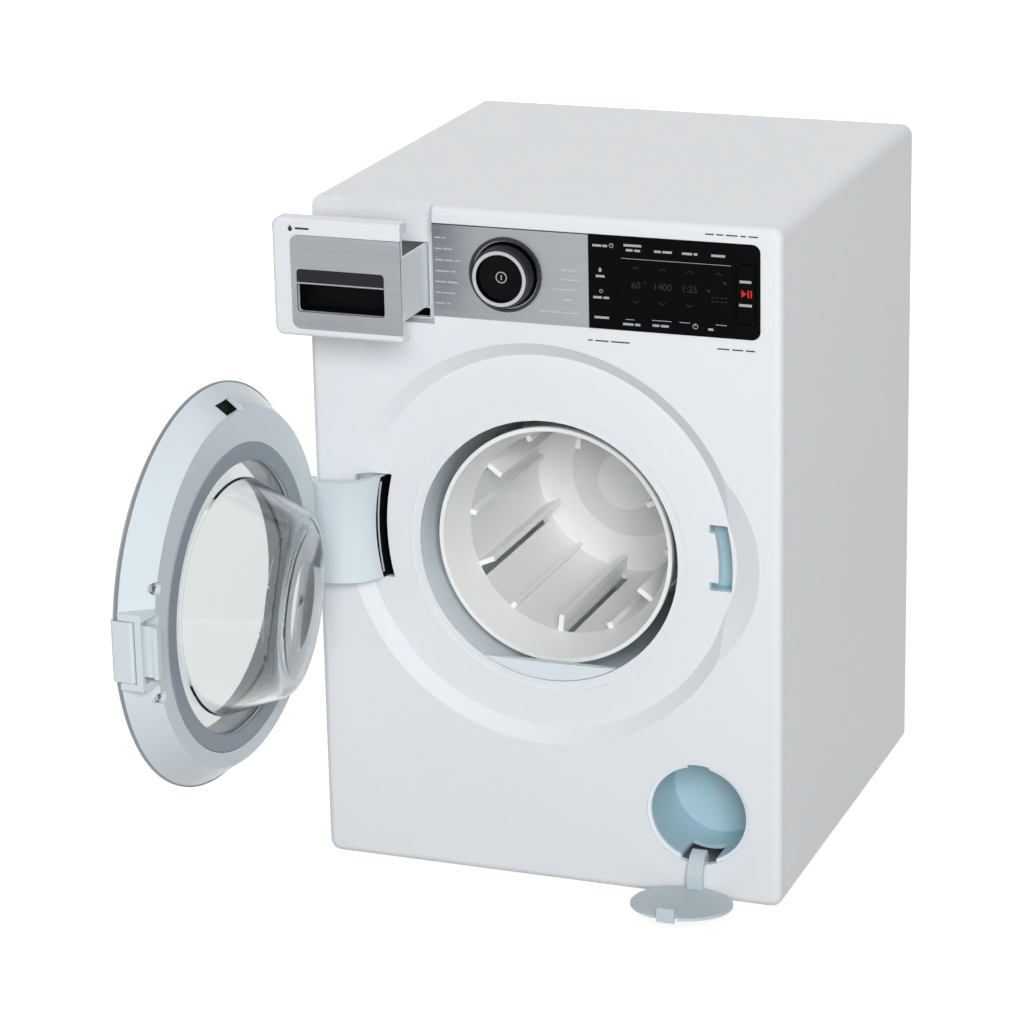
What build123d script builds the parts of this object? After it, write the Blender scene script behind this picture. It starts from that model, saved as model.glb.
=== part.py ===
"""Toy washing machine, about 185 mm wide, 182 mm deep and 263 mm tall.

Millimetres, +Z up, front towards -Y. The origin is the centre of the flat base.
Every size is written once. The plane `front(depth)` lies `depth` behind the front
face and looks forwards, so its sketches are drawn in X and Z as seen from the front.
At rest the door and the service flap stand open and the drawer is pulled out.
"""

import math
import os

from build123d import *

# ---------------------------------------------------------------- driving dimensions

# Casing
body_width = 185.0
body_depth = 182.0
body_height = 263.0
wall = 2.5
corner_radius = 4.5
front_edge_radius = 3.0
back_edge_radius = 1.0

# Clearances
gap = 0.3
seam = 0.1
running = 0.05
thread_clearance = 0.1

# Door opening and the shallow dish that the closed door lies in
dish_radius = 0.38 * body_width + 0.0327 * body_height
dish_top_margin = 4.5
bay_height = 44.7
ring_x = -1.0
ring_z = body_height - bay_height - dish_top_margin - dish_radius
port_x = ring_x + 0.5
port_z = ring_z - 3.7
port_radius = dish_radius - 27.4
port_step_radius = port_radius + 3.5
port_step_depth = 0.7
dish_depth = 4.5
dish_slope = 5.5
scoop_offset = dish_radius - 43.7
scoop_drop = 1.4
scoop_radius = 50.0
scoop_slope = 10.0
dot_radius = 1.8
dot_height = 0.4
dot_distance = dish_radius - 16.3
dot_angle = 42.7

# Door hinge, in the front left corner of the casing
hinge_inset = 9.0
hinge_depth = 7.5
door_open_angle = 92.1
hinge_pin_radius = 1.5
knuckle_radius = 3.5
arm_inner_radius = 13.0
arm_outer_radius = 16.0
arm_height = 40.0
arm_centre_z = ring_z + 1.0
arm_start_angle = -28.0
arm_end_angle = 110.0
arm_web_angle = 6.5
arm_groove_angle = 74.0
arm_groove_width = 4.0
arm_groove_depth = 0.8
arm_groove_height = 36.0
arm_web_thickness = 3.0
arm_flange_start = 11.8
arm_screw_inset = 4.0
arm_flange_margin = 4.5
arm_flange_thickness = 2.5
arm_screw_spread = 12.0
arm_screw_grip = 1.5
arm_screw_tip_gap = 0.5
hinge_slot_margin = 0.6
hinge_slot_inset = 16.5
hinge_slot_reach = 18.4
slot_edge_radius = 84.0
lug_thickness = 3.0
lug_width = 11.5
lug_length = 10.0
pin_overhang = 1.5
pin_chamfer = 0.3

# Door
rim_radius = dish_radius - 4.2
rim_stand_off = 8.1
rim_thickness = 1.1
rim_dome = 3.2
rim_shoulder_dome = 2.24
rim_under_dome = 2.56
rim_wall = 2.0
rim_lip = 0.5
rim_crest = rim_radius - 12.2
rim_shoulder = rim_radius - 3.2
rim_inner = rim_radius - 28.7
rim_inner_dome = 0.9
door_post_radius = 3.0
rim_window_radius = rim_radius - 24.2
bezel_depth = 11.7
bezel_radius = rim_radius - 8.2
bezel_wall = 2.0
seal_outer_radius = rim_window_radius + 6.5
seal_inner_radius = rim_window_radius - 0.3
seal_edge_radius = 0.5
seal_seat = 1.1
seal_rise = 0.3
bowl_radius = rim_window_radius - 6.5
bowl_end_radius = bowl_radius - 11.3
bowl_depth = 37.0
bowl_slant_u = 0.20
bowl_slant_v = 0.08
bowl_edge_radius = 8.0
bowl_wall = 1.8
bowl_flange_thickness = 1.6
bowl_flange_radius = seal_outer_radius - 2.0
bowl_blank_factor = 1.4
bowl_dimple_radius = 17.0
bowl_dimple_depth = 0.8
door_screw_spread = 20.0
door_screw_offset = rim_radius - 12.1
door_screw_head_radius = 2.2
door_screw_head_height = 1.2
door_screw_seat = 9.0
bezel_slot_width = 12.5
bezel_slot_height = 4.6
bezel_slot_u = -2.0
bezel_slot_v = rim_radius - 7.2

# Door handle with its catch tongue, and the catch slot in the dish
handle_drop = 0.5
handle_height = 22.6
handle_inner = rim_radius - 11.1
handle_outer = rim_radius - 0.5
handle_front = -1.6
handle_back = 7.0
handle_edge_radius = 1.2
handle_pivot_u = handle_inner + 3.2
handle_pivot_w = 4.8
handle_pivot_radius = 1.2
handle_pivot_length = 2.0
handle_lug_thickness = 2.6
handle_lug_outer = handle_inner + 10.3
handle_pocket_wall = 1.2
latch_bar_back = 10.3
latch_bar_depth = 2.4
latch_bar_thickness = 1.7
tongue_inner = handle_inner + 5.4
tongue_thickness = 1.8
tongue_height = 19.0
tongue_reach = 15.6
tongue_hook = 1.2
tongue_hook_height = 1.8
tongue_groove_start = 9.9
tongue_groove_width = 1.3
tongue_groove_depth = 0.7
catch_inner_radius = tongue_inner - 1.4
catch_outer_radius = tongue_inner + 4.0
catch_height = 25.6
catch_rise = 4.5
catch_relief = 3.2
catch_relief_reach = 3.6
catch_box_depth = 7.0
catch_box_wall = 1.5

# Detergent drawer and its bay in the top left corner
panel_bottom_z = body_height - 41.4
bay_width = 51.0
bay_depth = 7.0
drawer_out = 30.5
drawer_shell = 2.0
drawer_lip_depth = 6.4
drawer_hook_drop = 1.6
drawer_hook_width = 1.2
drawer_corner_radius = 3.2
drawer_edge_radius = 1.5
insert_thickness = 0.8
insert_left = 7.4
pocket_left = 9.6
pocket_width = 34.5
pocket_bottom_z = panel_bottom_z + 6.4
pocket_height = 16.2
pocket_depth = 9.5
pocket_corner_radius = 1.5
pocket_wall = 0.7
handle_bar_height = 5.5
handle_bar_thickness = 2.6
handle_bar_radius = 0.6
tray_left = 5.0
tray_width = 41.0
tray_bottom_z = panel_bottom_z + 1.8
tray_height = 23.8
tray_length = 70.0
tray_wall = 1.2
case_wall = 1.5
case_flange_width = 5.0

# Control panel
panel_height = 35.2
panel_thickness = 1.2
panel_proud = 0.3
panel_left = bay_width - body_width / 2
display_right = body_width / 2 - 8.0
display_left = display_right - 65.0
display_corner_radius = 3.2
knob_x = (panel_left + display_left) / 2 - 1.8
knob_z = panel_bottom_z + 17.7
bezel_ring_outer = 14.1
bezel_ring_inner = 12.9
bezel_ring_height = 1.0
bezel_ring_edge_radius = 0.3
knob_base_radius = 12.5
knob_top_radius = 11.2
knob_height = 6.0
knob_ring_outer = 10.5
knob_ring_inner = 9.0
knob_ring_height = 0.8
knob_ring_edge_radius = 0.25
button_radius = 8.7
button_dish = 0.7
button_thickness = 1.8
button_travel = 1.0
knob_floor = 1.0
knob_edge_radius = 0.6
knob_stem_radius = 4.0
button_stem_radius = 1.5
start_key_x = display_right - 5.3
start_key_z = panel_bottom_z + 16.8
start_key_width = 6.9
start_key_height = 21.9
key_proud = 0.15
key_travel = 0.7
key_corner_radius = 1.0
key_flange = 1.2
key_flange_thickness = 1.0

# Circuit board behind the panel
board_width = display_right - panel_left - 6.0
board_height = 33.0
board_thickness = 1.6
board_depth = 9.4
board_x = (panel_left + display_right) / 2 + 3.5
board_z = panel_bottom_z + 17.4
board_post_radius = 3.0
board_post_inset_x = 14.0
board_post_inset_z = 4.0
switch_size = 6.0
dial_switch_size = 14.0
dial_switch_height = 4.0
switch_height = 3.5
switch_plunger_radius = 1.7
switch_plunger_height = 0.5

# Service port at the lower right
service_x = body_width / 2 - 32.7
service_radius = body_height / 14
service_step = 1.4
service_depth = 30.0
cup_wall = 1.5
cup_flange = 1.5
notch_width = 14.0
notch_length = 16.5
snap_notch_width = 8.3
snap_notch_back = 5.4
service_recess = 1.2
flap_hinge_depth = 5.5
flap_hinge_z = 9.1
service_z = flap_hinge_z + service_radius + 6.4
flap_open_angle = 84.5
flap_thickness = 1.0
flap_inset = 0.1
flap_clearance = 0.8
flap_bevel = 0.5
flap_arm_width = 6.0
flap_arm_inner = 8.0
flap_arm_outer = 10.3
flap_arm_start = 20.0
flap_arm_end = 120.0
flap_web_angle = 5.0
flap_web_thickness = 2.2
flap_tab_width = 6.9
flap_tab_root = service_radius - 3.8
flap_tab_reach = service_radius + 1.1
flap_tab_rise = 4.6
flap_tab_proud = 0.9
flap_tab_thickness = 1.2
flap_tab_slope = 0.8
flap_tab_relief = 0.8
flap_lug_back = 2.6
flap_pin_radius = 1.2
flap_knuckle_radius = 2.6
flap_lug_thickness = 2.5

# Tub, drum and bearing
tub_wall = 2.5
tub_back_space = 78.0
tub_depth = body_depth - tub_back_space
tub_ear_radius = 4.5
tub_ear_distance = port_radius + 10.5
tub_ear_depth = 15.0
tub_ear_count = 4
tub_screw_grip = 6.0
drum_front_depth = 13.0
drum_rim_radius = port_radius - 6.4
drum_lip = 1.6
drum_collar_depth = 17.0
drum_bore_radius = port_radius - 11.0
drum_clearance = 3.0
drum_wall = 2.0
paddle_count = 6
paddle_height = 6.5
paddle_thickness = 2.0
paddle_angle = 23.7
slot_lag = 4.6
slot_width = 4.2
slot_end_margin = 5.7
low_rib_height = 2.3
low_rib_lag = 30.0
cone_radius = drum_bore_radius - 14.5
cone_top_radius = 12.0
cone_rise = 9.0
hub_radius = 9.0
shaft_radius = 4.0
shaft_insertion = 8.0
bush_radius = 6.5
bearing_radius = 10.0
bearing_length = 9.0
lip_level = port_radius - 7.1
lip_sag = 1.6
lip_thickness = 1.5

# Gear train and motor
drum_gear_teeth = 60
drum_gear_pitch_radius = port_radius - 15.5
idler_small_teeth = 12
idler_large_teeth = 40
pinion_teeth = 10
pinion_module = 1.0
gear_width = 6.0
fine_gear_width = 4.0
idler_angle = -50.0
pinion_angle = -20.0
idler_axle_radius = 1.5
idler_hub_radius = 4.0
tooth_tip = 0.8
tooth_root = 1.15
tooth_tip_width = 0.7
tooth_root_width = 1.75
gear_plate_thickness = 2.5
gear_plate_post = 4.0
gear_post_distance = port_radius - 5.5
gear_post_angles = (10.0, -100.0, 135.0)
motor_radius = 12.0
motor_length = 24.0
motor_chamfer = 1.0
motor_shaft_radius = 1.0

# Rear cover, battery compartment and speaker
cover_thickness = 2.5
cover_inset = 2.5
post_size = 10.0
post_length = 20.0
screw_radius = 1.0
screw_head_radius = 2.8
screw_head_height = 1.6
screw_length = 12.0
cell_radius = 7.0
cell_length = 49.5
cell_count = 4
cell_pitch = 14.6
battery_z = 45.0
battery_box_wall = 1.5
battery_box_depth = 15.2
battery_door_rebate = 1.2
battery_boss_radius = 3.2
battery_boss_depth = 14.0
contact_thickness = 1.2
contact_size = 9.0
cell_tip_radius = 2.7
cell_tip_length = 1.2
battery_ear = 4.0
speaker_radius = 18.0
speaker_depth = 8.0
speaker_z = body_height - 58.0
speaker_ring = 1.5
speaker_rim = 1.5
speaker_magnet_radius = 9.0
grille_rings = 2
grille_hole_radius = 1.4
grille_pitch = 5.0

# ------------------------------------------------------------------ worked-out places

half_width = body_width / 2
front_y = -body_depth / 2
left_x = -half_width


def front(depth, x=0.0, z=0.0):
    """Return the plane `depth` behind the front face, looking forwards from (x, z)."""
    return Plane(origin=(x, front_y + depth, z), x_dir=(1, 0, 0), z_dir=(0, -1, 0))


def section(plane):
    """Return the plane through the axis of `plane`: x is across and y goes back along it."""
    return Plane(origin=plane.origin, x_dir=plane.x_dir, z_dir=plane.y_dir)


def spindle(plane):
    """Return the axis that stands on `plane` at its origin."""
    return Axis(plane.origin, plane.z_dir)


def arc_point(radius, angle, centre=(0.0, 0.0)):
    """Return the point at `radius` and `angle` (degrees) about `centre`."""
    turn = math.radians(angle)
    return (centre[0] + radius * math.cos(turn), centre[1] + radius * math.sin(turn))


hinge_x = left_x + hinge_inset
hinge_y = front_y + hinge_depth
hinge_slot_left = left_x + hinge_slot_inset
slot_edge_x = hinge_x + hinge_slot_reach + slot_edge_radius
arm_screw_reach = ring_x - hinge_x - bezel_radius + arm_screw_inset
arm_flange_reach = arm_screw_reach + arm_flange_margin
swing = Location((hinge_x, hinge_y, 0), (0, 0, -door_open_angle))
closed_rim = Location(Plane(origin=(ring_x - hinge_x, front_y - rim_stand_off - hinge_y, ring_z),
                            x_dir=(1, 0, 0), z_dir=(0, -1, 0)))
door_rim_plane = Plane(swing * closed_rim)


def door(depth, u=0.0, v=0.0):
    """Return the plane `depth` behind the door's rim, u towards its free edge and v up."""
    origin = door_rim_plane.from_local_coords((u, v, -depth))
    return Plane(origin=origin, x_dir=door_rim_plane.x_dir, z_dir=door_rim_plane.z_dir)


def hinge(z):
    """Return the level plane at height z on the door's hinge axis, turned with the door."""
    return Plane(swing * Location((0, 0, z)))


flap_swing = Location((service_x, front_y + flap_hinge_depth, flap_hinge_z), (flap_open_angle, 0, 0))
flap_disc_plane = Plane(flap_swing * Location(Plane(
    origin=(0, flap_inset - flap_hinge_depth, service_z - flap_hinge_z),
    x_dir=(1, 0, 0), z_dir=(0, -1, 0))))
flap_side_plane = Plane(flap_swing * Location(Plane(
    origin=(0, 0, 0), x_dir=(0, 1, 0), z_dir=(1, 0, 0))))

dish_floor = dish_depth + wall
bay_right = left_x + bay_width
bay_bottom_z = body_height - bay_height
cover_back = body_depth - cover_inset
cover_front = cover_back - cover_thickness
post_reach = wall + post_size / 2
post_places = [(side * (half_width - post_reach), z)
               for side in (-1, 1)
               for z in (post_reach, body_height / 2, body_height - post_reach)]
tub_back = dish_floor + tub_depth
tub_outer_back = tub_back + tub_wall
drum_back = tub_back - drum_clearance
shaft_front = drum_back - shaft_insertion
gear_front = tub_outer_back + bearing_length + gap
fine_gear_front = gear_front + gear_width + 2 * gap
plate_front = fine_gear_front + fine_gear_width + 2 * gap
plate_back = plate_front + gear_plate_thickness
drum_gear_module = 2 * drum_gear_pitch_radius / drum_gear_teeth
idler_distance = drum_gear_module * (drum_gear_teeth + idler_small_teeth) / 2
pinion_distance = pinion_module * (idler_large_teeth + pinion_teeth) / 2
port_centre = (port_x, port_z)
idler_place = arc_point(idler_distance, idler_angle, port_centre)
motor_place = arc_point(pinion_distance, pinion_angle, idler_place)
gear_post_places = [arc_point(gear_post_distance, angle, port_centre)
                    for angle in gear_post_angles]
ear_places = [arc_point(tub_ear_distance, 45 + step * 360 / tub_ear_count, port_centre)
              for step in range(tub_ear_count)]
board_back = board_depth + board_thickness
board_posts = [(board_x + side * (board_width / 2 - board_post_inset_x),
                board_z + rise * (board_height / 2 - board_post_inset_z))
               for side in (-1, 1) for rise in (-1, 1)]
panel_centre_z = panel_bottom_z + panel_height / 2
panel_back = panel_thickness - panel_proud
tray_x = left_x + tray_left + tray_width / 2
tray_top_z = tray_bottom_z + tray_height
pocket_centre = (left_x + pocket_left + pocket_width / 2, pocket_bottom_z + pocket_height / 2)
bezel_inner_depth = bezel_depth - bezel_wall
arm_waist = arm_height ** 2 / (8 * slot_edge_radius)
bowl_u = port_x - ring_x
bowl_v = port_z - ring_z
handle_v = -handle_drop
handle_notch = handle_height + 2 * gap
handle_pocket_inner = handle_inner - gap - handle_pocket_wall
arm_v = arm_centre_z - ring_z
slot_height = arm_height + 2 * hinge_slot_margin
lug_places = [arm_centre_z + side * (slot_height + lug_thickness) / 2 for side in (-1, 1)]
hinge_pin_length = slot_height + 2 * lug_thickness + 2 * pin_overhang
flap_radius = service_radius + service_step - flap_clearance
flap_rise_plane = Plane(origin=flap_disc_plane.origin, x_dir=flap_disc_plane.y_dir,
                        z_dir=flap_disc_plane.x_dir)
battery_height = cell_count * cell_pitch
battery_width = cell_length + 2 * (contact_thickness + 2 * seam)
battery_door_height = battery_height + 2 * battery_boss_radius + 2 * battery_box_wall
battery_door_z = battery_z + (battery_door_height - battery_height) / 2 - battery_box_wall
battery_boss_z = battery_z + (battery_height + battery_box_wall) / 2 + battery_boss_radius
from_back = (Align.CENTER, Align.CENTER, Align.MIN)

os.makedirs("parts", exist_ok=True)


def save(part, name):
    """Label one finished piece and write it as a STEP file."""
    part.label = name
    export_step(part, f"parts/{name}.step")


# ---------------------------------------------------------------------------- casing

with BuildPart() as housing:
    with BuildSketch(front(0, 0, body_height / 2)):
        RectangleRounded(body_width, body_height, corner_radius)
    extrude(amount=-body_depth)
    fillet(housing.faces().sort_by(Axis.Y)[0].edges(), front_edge_radius)
    fillet(housing.faces().sort_by(Axis.Y)[-1].edges(), back_edge_radius)
    with BuildSketch(front(wall, 0, body_height / 2)):
        RectangleRounded(body_width - 2 * wall, body_height - 2 * wall, corner_radius - wall)
    extrude(amount=wall - body_depth, mode=Mode.SUBTRACT)

    # Backing of the dish, with its slope wall, and of the drawer bay
    with Locations(front(dish_floor, ring_x, ring_z)):
        Cone(dish_radius - dish_slope + wall, dish_radius, dish_floor - wall / 2, align=from_back)
    with Locations(front(dish_floor, ring_x + scoop_offset, ring_z - scoop_drop)):
        Cone(scoop_radius - scoop_slope + wall, scoop_radius, dish_floor - wall / 2, align=from_back)
    with BuildSketch(front(wall / 2, left_x + wall / 2, body_height - wall / 2)):
        Rectangle(bay_width + wall / 2, bay_height + wall / 2, align=(Align.MIN, Align.MAX))
    extrude(amount=-bay_depth - wall / 2)

    # Dish, scoop beside the handle, and the door opening
    with Locations(front(dish_depth, ring_x, ring_z)):
        Cone(dish_radius - dish_slope, dish_radius, dish_depth, align=from_back, mode=Mode.SUBTRACT)
    with Locations(front(dish_depth, ring_x + scoop_offset, ring_z - scoop_drop)):
        Cone(scoop_radius - scoop_slope, scoop_radius, dish_depth, align=from_back,
             mode=Mode.SUBTRACT)
    with BuildSketch(front(dish_depth, port_x, port_z)):
        Circle(port_step_radius)
    extrude(amount=-port_step_depth, mode=Mode.SUBTRACT)
    with BuildSketch(front(dish_depth, port_x, port_z)):
        Circle(port_radius)
    extrude(amount=-2 * wall, mode=Mode.SUBTRACT)
    with BuildSketch(front(dish_depth, *arc_point(dot_distance, dot_angle, port_centre))):
        Circle(dot_radius)
    extrude(amount=dot_height)

    # Slots for the hinge arm and for the catch tongue
    with BuildSketch(front(0, hinge_slot_left, arm_centre_z)):
        Rectangle(2 * hinge_slot_reach, slot_height, align=(Align.MIN, Align.CENTER))
        with Locations((slot_edge_x - hinge_slot_left, 0)):
            Circle(slot_edge_radius, mode=Mode.SUBTRACT)
    extrude(amount=-dish_floor - wall, mode=Mode.SUBTRACT)
    with BuildSketch(front(dish_depth, port_x, port_z)):
        Circle(catch_outer_radius)
        Circle(catch_inner_radius, mode=Mode.SUBTRACT)
        with Locations((catch_outer_radius, catch_rise)):
            Rectangle(catch_outer_radius, catch_height, mode=Mode.INTERSECT)
        for side in (-1, 1):
            with Locations((catch_inner_radius - catch_relief_reach / 2,
                            catch_rise + side * (catch_height - catch_relief) / 2)):
                Rectangle(catch_relief_reach, catch_relief)
    extrude(amount=-2 * wall, mode=Mode.SUBTRACT)

    # Lugs that hold the hinge pin, above and below the arm
    for lug_z in lug_places:
        with BuildSketch(Plane.XY.offset(lug_z - lug_thickness / 2)):
            with Locations((left_x + wall / 2, front_y + wall / 2)):
                Rectangle(lug_width + wall / 2, lug_length + wall / 2, align=(Align.MIN, Align.MIN))
            with Locations((hinge_x, hinge_y)):
                Circle(hinge_pin_radius + running, mode=Mode.SUBTRACT)
        extrude(amount=lug_thickness)

    # Drawer bay, open to the front, the left and the top, and the way in for the tray
    with BuildSketch(front(0, bay_right, bay_bottom_z)):
        Rectangle(2 * bay_width, 2 * bay_height, align=(Align.MAX, Align.MIN))
    extrude(amount=-bay_depth, mode=Mode.SUBTRACT)
    with BuildSketch(front(bay_depth, tray_x, bay_bottom_z + gap)):
        Rectangle(tray_width + 4 * gap, tray_top_z - bay_bottom_z, align=(Align.CENTER, Align.MIN))
    extrude(amount=-2 * wall, mode=Mode.SUBTRACT)

    # Seats of the control panel, and the holes behind its knob and start key
    with BuildSketch(front(0, panel_left - seam, panel_centre_z)):
        with Locations(((display_right - panel_left + 2 * seam) / 2, 0)):
            RectangleRounded(display_right - panel_left + 2 * seam, panel_height + 2 * seam,
                             display_corner_radius)
        Rectangle(2 * display_corner_radius, panel_height + 2 * seam,
                  align=(Align.MIN, Align.CENTER))
    extrude(amount=-panel_back, mode=Mode.SUBTRACT)
    with BuildSketch(front(0)):
        with Locations((knob_x, knob_z)):
            Circle(knob_stem_radius + running)
        with Locations((start_key_x, start_key_z)):
            Rectangle(start_key_width + 2 * gap, start_key_height + 2 * gap)
    extrude(amount=-2 * wall, mode=Mode.SUBTRACT)

    # Service port, with notches in its ledge for the flap's tab and arm, and the hinge lugs
    with BuildSketch(front(0, service_x, service_z)):
        Circle(service_radius + service_step)
    extrude(amount=-service_recess, mode=Mode.SUBTRACT)
    with BuildSketch(front(0, service_x, service_z)):
        Rectangle(snap_notch_width, 2 * service_radius, align=(Align.CENTER, Align.MIN))
        Rectangle(notch_width, 2 * service_radius, align=(Align.CENTER, Align.MAX))
        Circle(service_radius + service_step, mode=Mode.INTERSECT)
        Circle(service_radius)
    extrude(amount=-wall, mode=Mode.SUBTRACT)
    for side in (-1, 1):
        lug_x = service_x + side * (flap_arm_width / 2 + gap + flap_lug_thickness / 2)
        with BuildSketch(Plane.YZ.offset(lug_x)):
            with Locations((front_y + wall / 2, wall / 2)):
                Rectangle(flap_hinge_depth + flap_lug_back - wall / 2,
                          flap_hinge_z + flap_lug_back - wall / 2, align=(Align.MIN, Align.MIN))
            with Locations((front_y + flap_hinge_depth, flap_hinge_z)):
                Circle(flap_pin_radius + running, mode=Mode.SUBTRACT)
        extrude(amount=flap_lug_thickness / 2, both=True)

    # Posts for the tub, the circuit board and the rear cover
    with BuildSketch(front(tub_ear_depth)):
        with Locations(*ear_places):
            Circle(tub_ear_radius)
            Circle(screw_radius + thread_clearance, mode=Mode.SUBTRACT)
    extrude(amount=tub_ear_depth - dish_floor)
    with BuildSketch(front(board_depth)):
        with Locations(*board_posts):
            Circle(board_post_radius)
            Circle(screw_radius + thread_clearance, mode=Mode.SUBTRACT)
    extrude(amount=board_depth - wall)
    with BuildSketch(front(cover_front)):
        with Locations(*post_places):
            Rectangle(post_size, post_size)
            Circle(screw_radius + thread_clearance, mode=Mode.SUBTRACT)
    extrude(amount=post_length)
save(housing.part, "housing")

# ------------------------------------------------------------- tub, drum and bearing

with BuildPart() as tub:
    with BuildSketch(front(dish_floor, port_x, port_z)):
        Circle(port_radius + tub_wall)
    extrude(amount=dish_floor - tub_outer_back)
    with BuildSketch(front(tub_ear_depth)):
        for place in ear_places:
            with Locations(place):
                Circle(tub_ear_radius)
        with Locations(port_centre):
            with PolarLocations((tub_ear_distance + port_radius) / 2, tub_ear_count, 45):
                Rectangle(tub_ear_distance - port_radius, 2 * tub_ear_radius)
    extrude(amount=-tub_wall)
    with BuildSketch(front(tub_outer_back, port_x, port_z)):
        Circle(bearing_radius)
    extrude(amount=-bearing_length)
    with BuildSketch(front(tub_outer_back)):
        with Locations(*gear_post_places):
            Circle(gear_plate_post)
    extrude(amount=tub_outer_back - plate_front)
    with BuildSketch(front(dish_floor, port_x, port_z)):
        Circle(port_radius)
    extrude(amount=-tub_depth, mode=Mode.SUBTRACT)

    # Drip lip across the bottom of the mouth
    with BuildSketch(front(dish_floor - lip_thickness, port_x, port_z)):
        Circle(port_radius - gap)
        with BuildLine():
            ThreePointArc((-port_radius, lip_sag - lip_level), (0, -lip_level),
                          (port_radius, lip_sag - lip_level))
            Polyline((port_radius, lip_sag - lip_level), (port_radius, port_radius),
                     (-port_radius, port_radius), (-port_radius, lip_sag - lip_level))
        make_face(mode=Mode.SUBTRACT)
    extrude(amount=-lip_thickness)
    with BuildSketch(front(dish_floor, port_x, port_z)):
        Circle(port_radius + tub_wall / 2)
        with Locations((0, -lip_level)):
            Rectangle(4 * port_radius, 4 * port_radius, align=(Align.CENTER, Align.MIN),
                      mode=Mode.SUBTRACT)
    extrude(amount=-lip_thickness)

    # Bore for the bush, and screw holes
    with BuildSketch(front(tub_back, port_x, port_z)):
        Circle(bush_radius + seam / 2)
    extrude(amount=-2 * bearing_length, mode=Mode.SUBTRACT)
    with BuildSketch(front(tub_ear_depth)):
        with Locations(*ear_places):
            Circle(screw_radius + thread_clearance)
    extrude(amount=-tub_wall, mode=Mode.SUBTRACT)
    with BuildSketch(front(plate_front)):
        with Locations(*gear_post_places):
            Circle(screw_radius + thread_clearance)
        with Locations(idler_place):
            Circle(idler_axle_radius + running)
    extrude(amount=plate_front - tub_outer_back, mode=Mode.SUBTRACT)
    with BuildSketch(front(tub_outer_back)):
        with Locations(idler_place):
            Circle(idler_axle_radius + running)
    extrude(amount=tub_wall, mode=Mode.SUBTRACT)
save(tub.part, "tub")

with BuildPart() as bush:
    with BuildSketch(front(tub_back, port_x, port_z)):
        Circle(bush_radius)
        Circle(shaft_radius + running, mode=Mode.SUBTRACT)
    extrude(amount=-tub_wall - bearing_length)
save(bush.part, "bush")

with BuildPart() as drum:
    drum_plane = front(0, port_x, port_z)
    collar_back = drum_front_depth + drum_collar_depth
    floor_depth = drum_back - drum_wall
    with BuildSketch(section(drum_plane)):
        with BuildLine():
            Polyline((0, floor_depth - cone_rise), (cone_top_radius, floor_depth - cone_rise),
                     (cone_radius, floor_depth), (drum_bore_radius, floor_depth),
                     (drum_bore_radius, collar_back), (drum_rim_radius, drum_front_depth),
                     (drum_rim_radius + drum_lip, drum_front_depth),
                     (drum_rim_radius + drum_lip, drum_front_depth + drum_wall),
                     (drum_bore_radius + drum_wall, collar_back),
                     (drum_bore_radius + drum_wall, drum_back), (hub_radius, drum_back),
                     (hub_radius, tub_back - gap), (0, tub_back - gap), close=True)
        make_face()
    revolve(axis=spindle(drum_plane))
    slot_front = collar_back + gap
    slot_length = floor_depth - slot_front - slot_end_margin
    with Locations(drum_plane):
        with PolarLocations(drum_bore_radius + drum_wall / 2, paddle_count,
                            paddle_angle + slot_lag):
            with Locations((0, 0, -slot_front)):
                Box(4 * drum_wall, slot_width, slot_length,
                    align=(Align.CENTER, Align.CENTER, Align.MAX), mode=Mode.SUBTRACT)
        with PolarLocations(drum_bore_radius + drum_wall / 2, paddle_count, paddle_angle):
            with Locations((0, 0, -collar_back)):
                Box(paddle_height + drum_wall / 2, paddle_thickness, floor_depth - collar_back,
                    align=(Align.MAX, Align.CENTER, Align.MAX))
        with PolarLocations(drum_bore_radius + drum_wall / 2, paddle_count,
                            paddle_angle + low_rib_lag):
            with Locations((0, 0, -collar_back)):
                Box(low_rib_height + drum_wall / 2, paddle_thickness, floor_depth - collar_back,
                    align=(Align.MAX, Align.CENTER, Align.MAX))
    with BuildSketch(front(shaft_front, port_x, port_z)):
        Circle(shaft_radius + running)
    extrude(amount=shaft_front - tub_back, mode=Mode.SUBTRACT)
save(drum.part, "drum")

with BuildPart() as drum_shaft:
    with BuildSketch(front(shaft_front, port_x, port_z)):
        Circle(shaft_radius)
    extrude(amount=shaft_front - fine_gear_front + gap)
save(drum_shaft.part, "drum_shaft")

# ------------------------------------------------------------------ gears and motor


def gear_face(teeth, module, first_tooth):
    """Return the outline of a spur gear that has a tooth at the angle `first_tooth`."""
    pitch_radius = teeth * module / 2
    root_radius = pitch_radius - tooth_root * module
    tip_radius = pitch_radius + tooth_tip * module
    root_half = tooth_root_width * module / 2
    tip_half = tooth_tip_width * module / 2
    with BuildSketch() as face:
        Circle(root_radius)
        with PolarLocations(0, teeth, first_tooth):
            Polygon((root_radius - module / 4, root_half), (root_radius - module / 4, -root_half),
                    (tip_radius, -tip_half), (tip_radius, tip_half), align=None)
    return face.sketch


def meshing_tooth(teeth, direction):
    """Return a tooth angle for a gear whose partner has a tooth pointing at it."""
    return direction + 180 + 180 / teeth


drum_gear_face = gear_face(drum_gear_teeth, drum_gear_module, idler_angle)
idler_small_face = gear_face(idler_small_teeth, drum_gear_module,
                             meshing_tooth(idler_small_teeth, idler_angle))
idler_large_face = gear_face(idler_large_teeth, pinion_module, pinion_angle)
pinion_face = gear_face(pinion_teeth, pinion_module, meshing_tooth(pinion_teeth, pinion_angle))

with BuildPart() as drum_gear:
    with BuildSketch(front(gear_front, port_x, port_z)):
        add(drum_gear_face)
        Circle(shaft_radius + running, mode=Mode.SUBTRACT)
    extrude(amount=-gear_width)
save(drum_gear.part, "drum_gear")

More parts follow.
